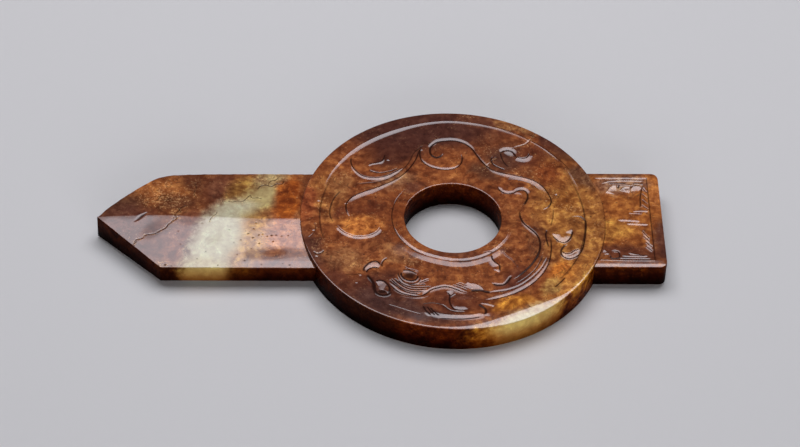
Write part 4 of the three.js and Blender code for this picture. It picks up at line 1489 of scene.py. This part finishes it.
@dataclass(frozen=True)
class Studio:
    """A pale floor, a wide softbox in bands, a faint sky and the camera. Lengths are metres."""

    centre: Vector
    elevation: float = 45.06
    yaw: float = 3.03
    roll: float = -2.37
    distance: float = 1.1642
    shift_right: float = -0.01894
    shift_up: float = -0.00298
    lens: float = 145.45
    sensor: float = 36.0
    near_clip: float = 0.05
    floor_size: float = 6.0
    floor_sink: float = 2e-5
    floor_colour: Colour = (0.72, 0.72, 0.71)
    floor_roughness: float = 0.8
    sky_colour: Colour = (0.95, 0.97, 1.0)
    sky_strength: float = 0.05
    light_distance: float = 1.0
    light_width: float = 1.15
    light_colour: Colour = (0.99, 0.98, 1.05)
    # Each band of the softbox: its lower and upper edge in degrees seen from the stone, and its brightness.
    light_bands: tuple[tuple[float, float, float], ...] = (
        (49.2, 50.0, 0.25),
        (50.0, 51.4, 1.4),
        (51.4, 54.0, 2.7),
        (54.0, 58.0, 3.2),
        (58.0, 64.0, 3.7),
        (64.0, 72.0, 3.9),
        (72.0, 87.0, 3.8),
        (155.0, 178.0, 2.8),
    )

    def camera(self) -> None:
        """Places the camera at the photograph's angle: its elevation above -Y, then its yaw and its roll."""
        e, yaw, roll = (math.radians(a) for a in (self.elevation, self.yaw, self.roll))
        unturn = Matrix.Rotation(-yaw, 3, "Z")
        right = Vector((1.0, 0.0, 0.0))
        up = Vector((0.0, math.sin(e), math.cos(e)))
        ahead = Vector((0.0, math.cos(e), -math.sin(e)))
        place = unturn @ (self.shift_right * right + self.shift_up * up - self.distance * ahead)
        turned_right = unturn @ (right * math.cos(roll) - up * math.sin(roll))
        turned_up = unturn @ (right * math.sin(roll) + up * math.cos(roll))
        data = bpy.data.cameras.new("camera")
        data.lens = self.lens
        data.sensor_width = self.sensor
        data.clip_start = self.near_clip
        view = bpy.data.objects.new("camera", data)
        axes = Matrix((turned_right, turned_up, -(unturn @ ahead))).transposed()
        view.matrix_world = Matrix.Translation(self.centre + place) @ axes.to_4x4()
        bpy.context.scene.collection.objects.link(view)
        bpy.context.scene.camera = view

    def lamp(self, name: str, low: float, high: float, radiance: float) -> None:
        """Hangs a soft lamp behind the stone, facing it.

        Args:
            name: the lamp's name.
            low: its lower edge, in degrees seen from the stone.
            high: its upper edge.
            radiance: how bright its face is.
        """
        data = bpy.data.lights.new(name, "AREA")
        data.shape = "RECTANGLE"
        data.size = self.light_width
        data.size_y = 2.0 * self.light_distance * math.tan(math.radians((high - low) / 2.0))
        data.energy = radiance * math.pi * data.size * data.size_y
        data.color = self.light_colour
        lamp = bpy.data.objects.new(name, data)
        e = math.radians((low + high) / 2.0)
        offset = Vector((0.0, math.cos(e), math.sin(e))) * self.light_distance
        lamp.location = self.centre + offset
        lamp.rotation_euler = (-offset).to_track_quat("-Z", "Y").to_euler()
        bpy.context.scene.collection.objects.link(lamp)

    def light(self) -> None:
        """Hangs a wide softbox, dimmer towards its lower edge, and a low fill in front for the walls."""
        for number, band in enumerate(self.light_bands, 1):
            self.lamp(f"softbox_band_{number}", *band)
        world = bpy.data.worlds.new("studio")
        bpy.context.scene.world = world
        world.use_nodes = True
        back = world.node_tree.nodes["Background"]
        back.inputs["Color"].default_value = (*self.sky_colour, 1.0)
        back.inputs["Strength"].default_value = self.sky_strength

    def floor(self) -> None:
        """Lays the floor, a hair under the stone."""
        half = self.floor_size / 2.0
        corners = np.array([(-half, -half), (half, -half), (half, half), (-half, half)])
        points = np.hstack([corners, np.full((4, 1), -self.floor_sink)])
        piece = Solids.mesh("floor", points, np.array([[0, 1, 2, 3]]), [])
        material = bpy.data.materials.new("pale_floor")
        Tree(material).surface({"Base Color": (*self.floor_colour, 1.0), "Roughness": self.floor_roughness})
        piece.data.materials.append(material)

    def build(self) -> None:
        """Sets up the whole studio."""
        self.camera()
        self.light()
        self.floor()
        bpy.context.scene.view_settings.view_transform = "Standard"


class Node(Enum):
    """The frame's nodes that the looks stand for."""

    BLADE = "gui_blade"
    DISC = "bi_disc"
    BUTT = "gui_butt"


def dress(piece: bpy.types.Object, node: Node, jade: Jade, centre: Point) -> None:
    """Gives a piece its finish and ties it to the frame."""
    finish = jade.near(piece, centre)
    piece.data.materials.append(finish.material(centre))
    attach(piece, "root")
    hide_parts(node.value)
    size, stains = len(piece.data.vertices), len(finish.stains)
    LOG.info("%s: %d points, %d stains, stands for %s", piece.name, size, stains, node.value)


def main() -> None:
    """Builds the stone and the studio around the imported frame."""
    logging.basicConfig(level=logging.INFO, format="%(name)s %(message)s")
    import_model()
    low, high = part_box(Node.DISC.value)
    axis = (low + high) / 2.0
    centre = (axis.x / MM, axis.y / MM)
    Studio(Vector((axis.x, axis.y, high.z))).build()
    butt_low, butt_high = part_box(Node.BUTT.value)
    blade_low, blade_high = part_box(Node.BLADE.value)
    middle = (blade_low.z + blade_high.z) / MM / 2.0
    half_width = (butt_high.y - butt_low.y) / MM / 2.0
    disc = BiDisc(centre, (high.x - low.x) / MM / 2.0, (high.z - low.z) / MM)
    for piece in disc.build():
        dress(piece, Node.DISC, Finishes.RUSSET, centre)
    blade = Blade("gui_blade_stone", centre, middle, half_width)
    dress(blade.build(), Node.BLADE, Finishes.PALE, centre)
    butt = Butt("gui_butt_stone", centre, middle, half_width, across=300)
    dress(butt.build(), Node.BUTT, Finishes.HONEY, centre)


if __name__ == "__main__":
    main()
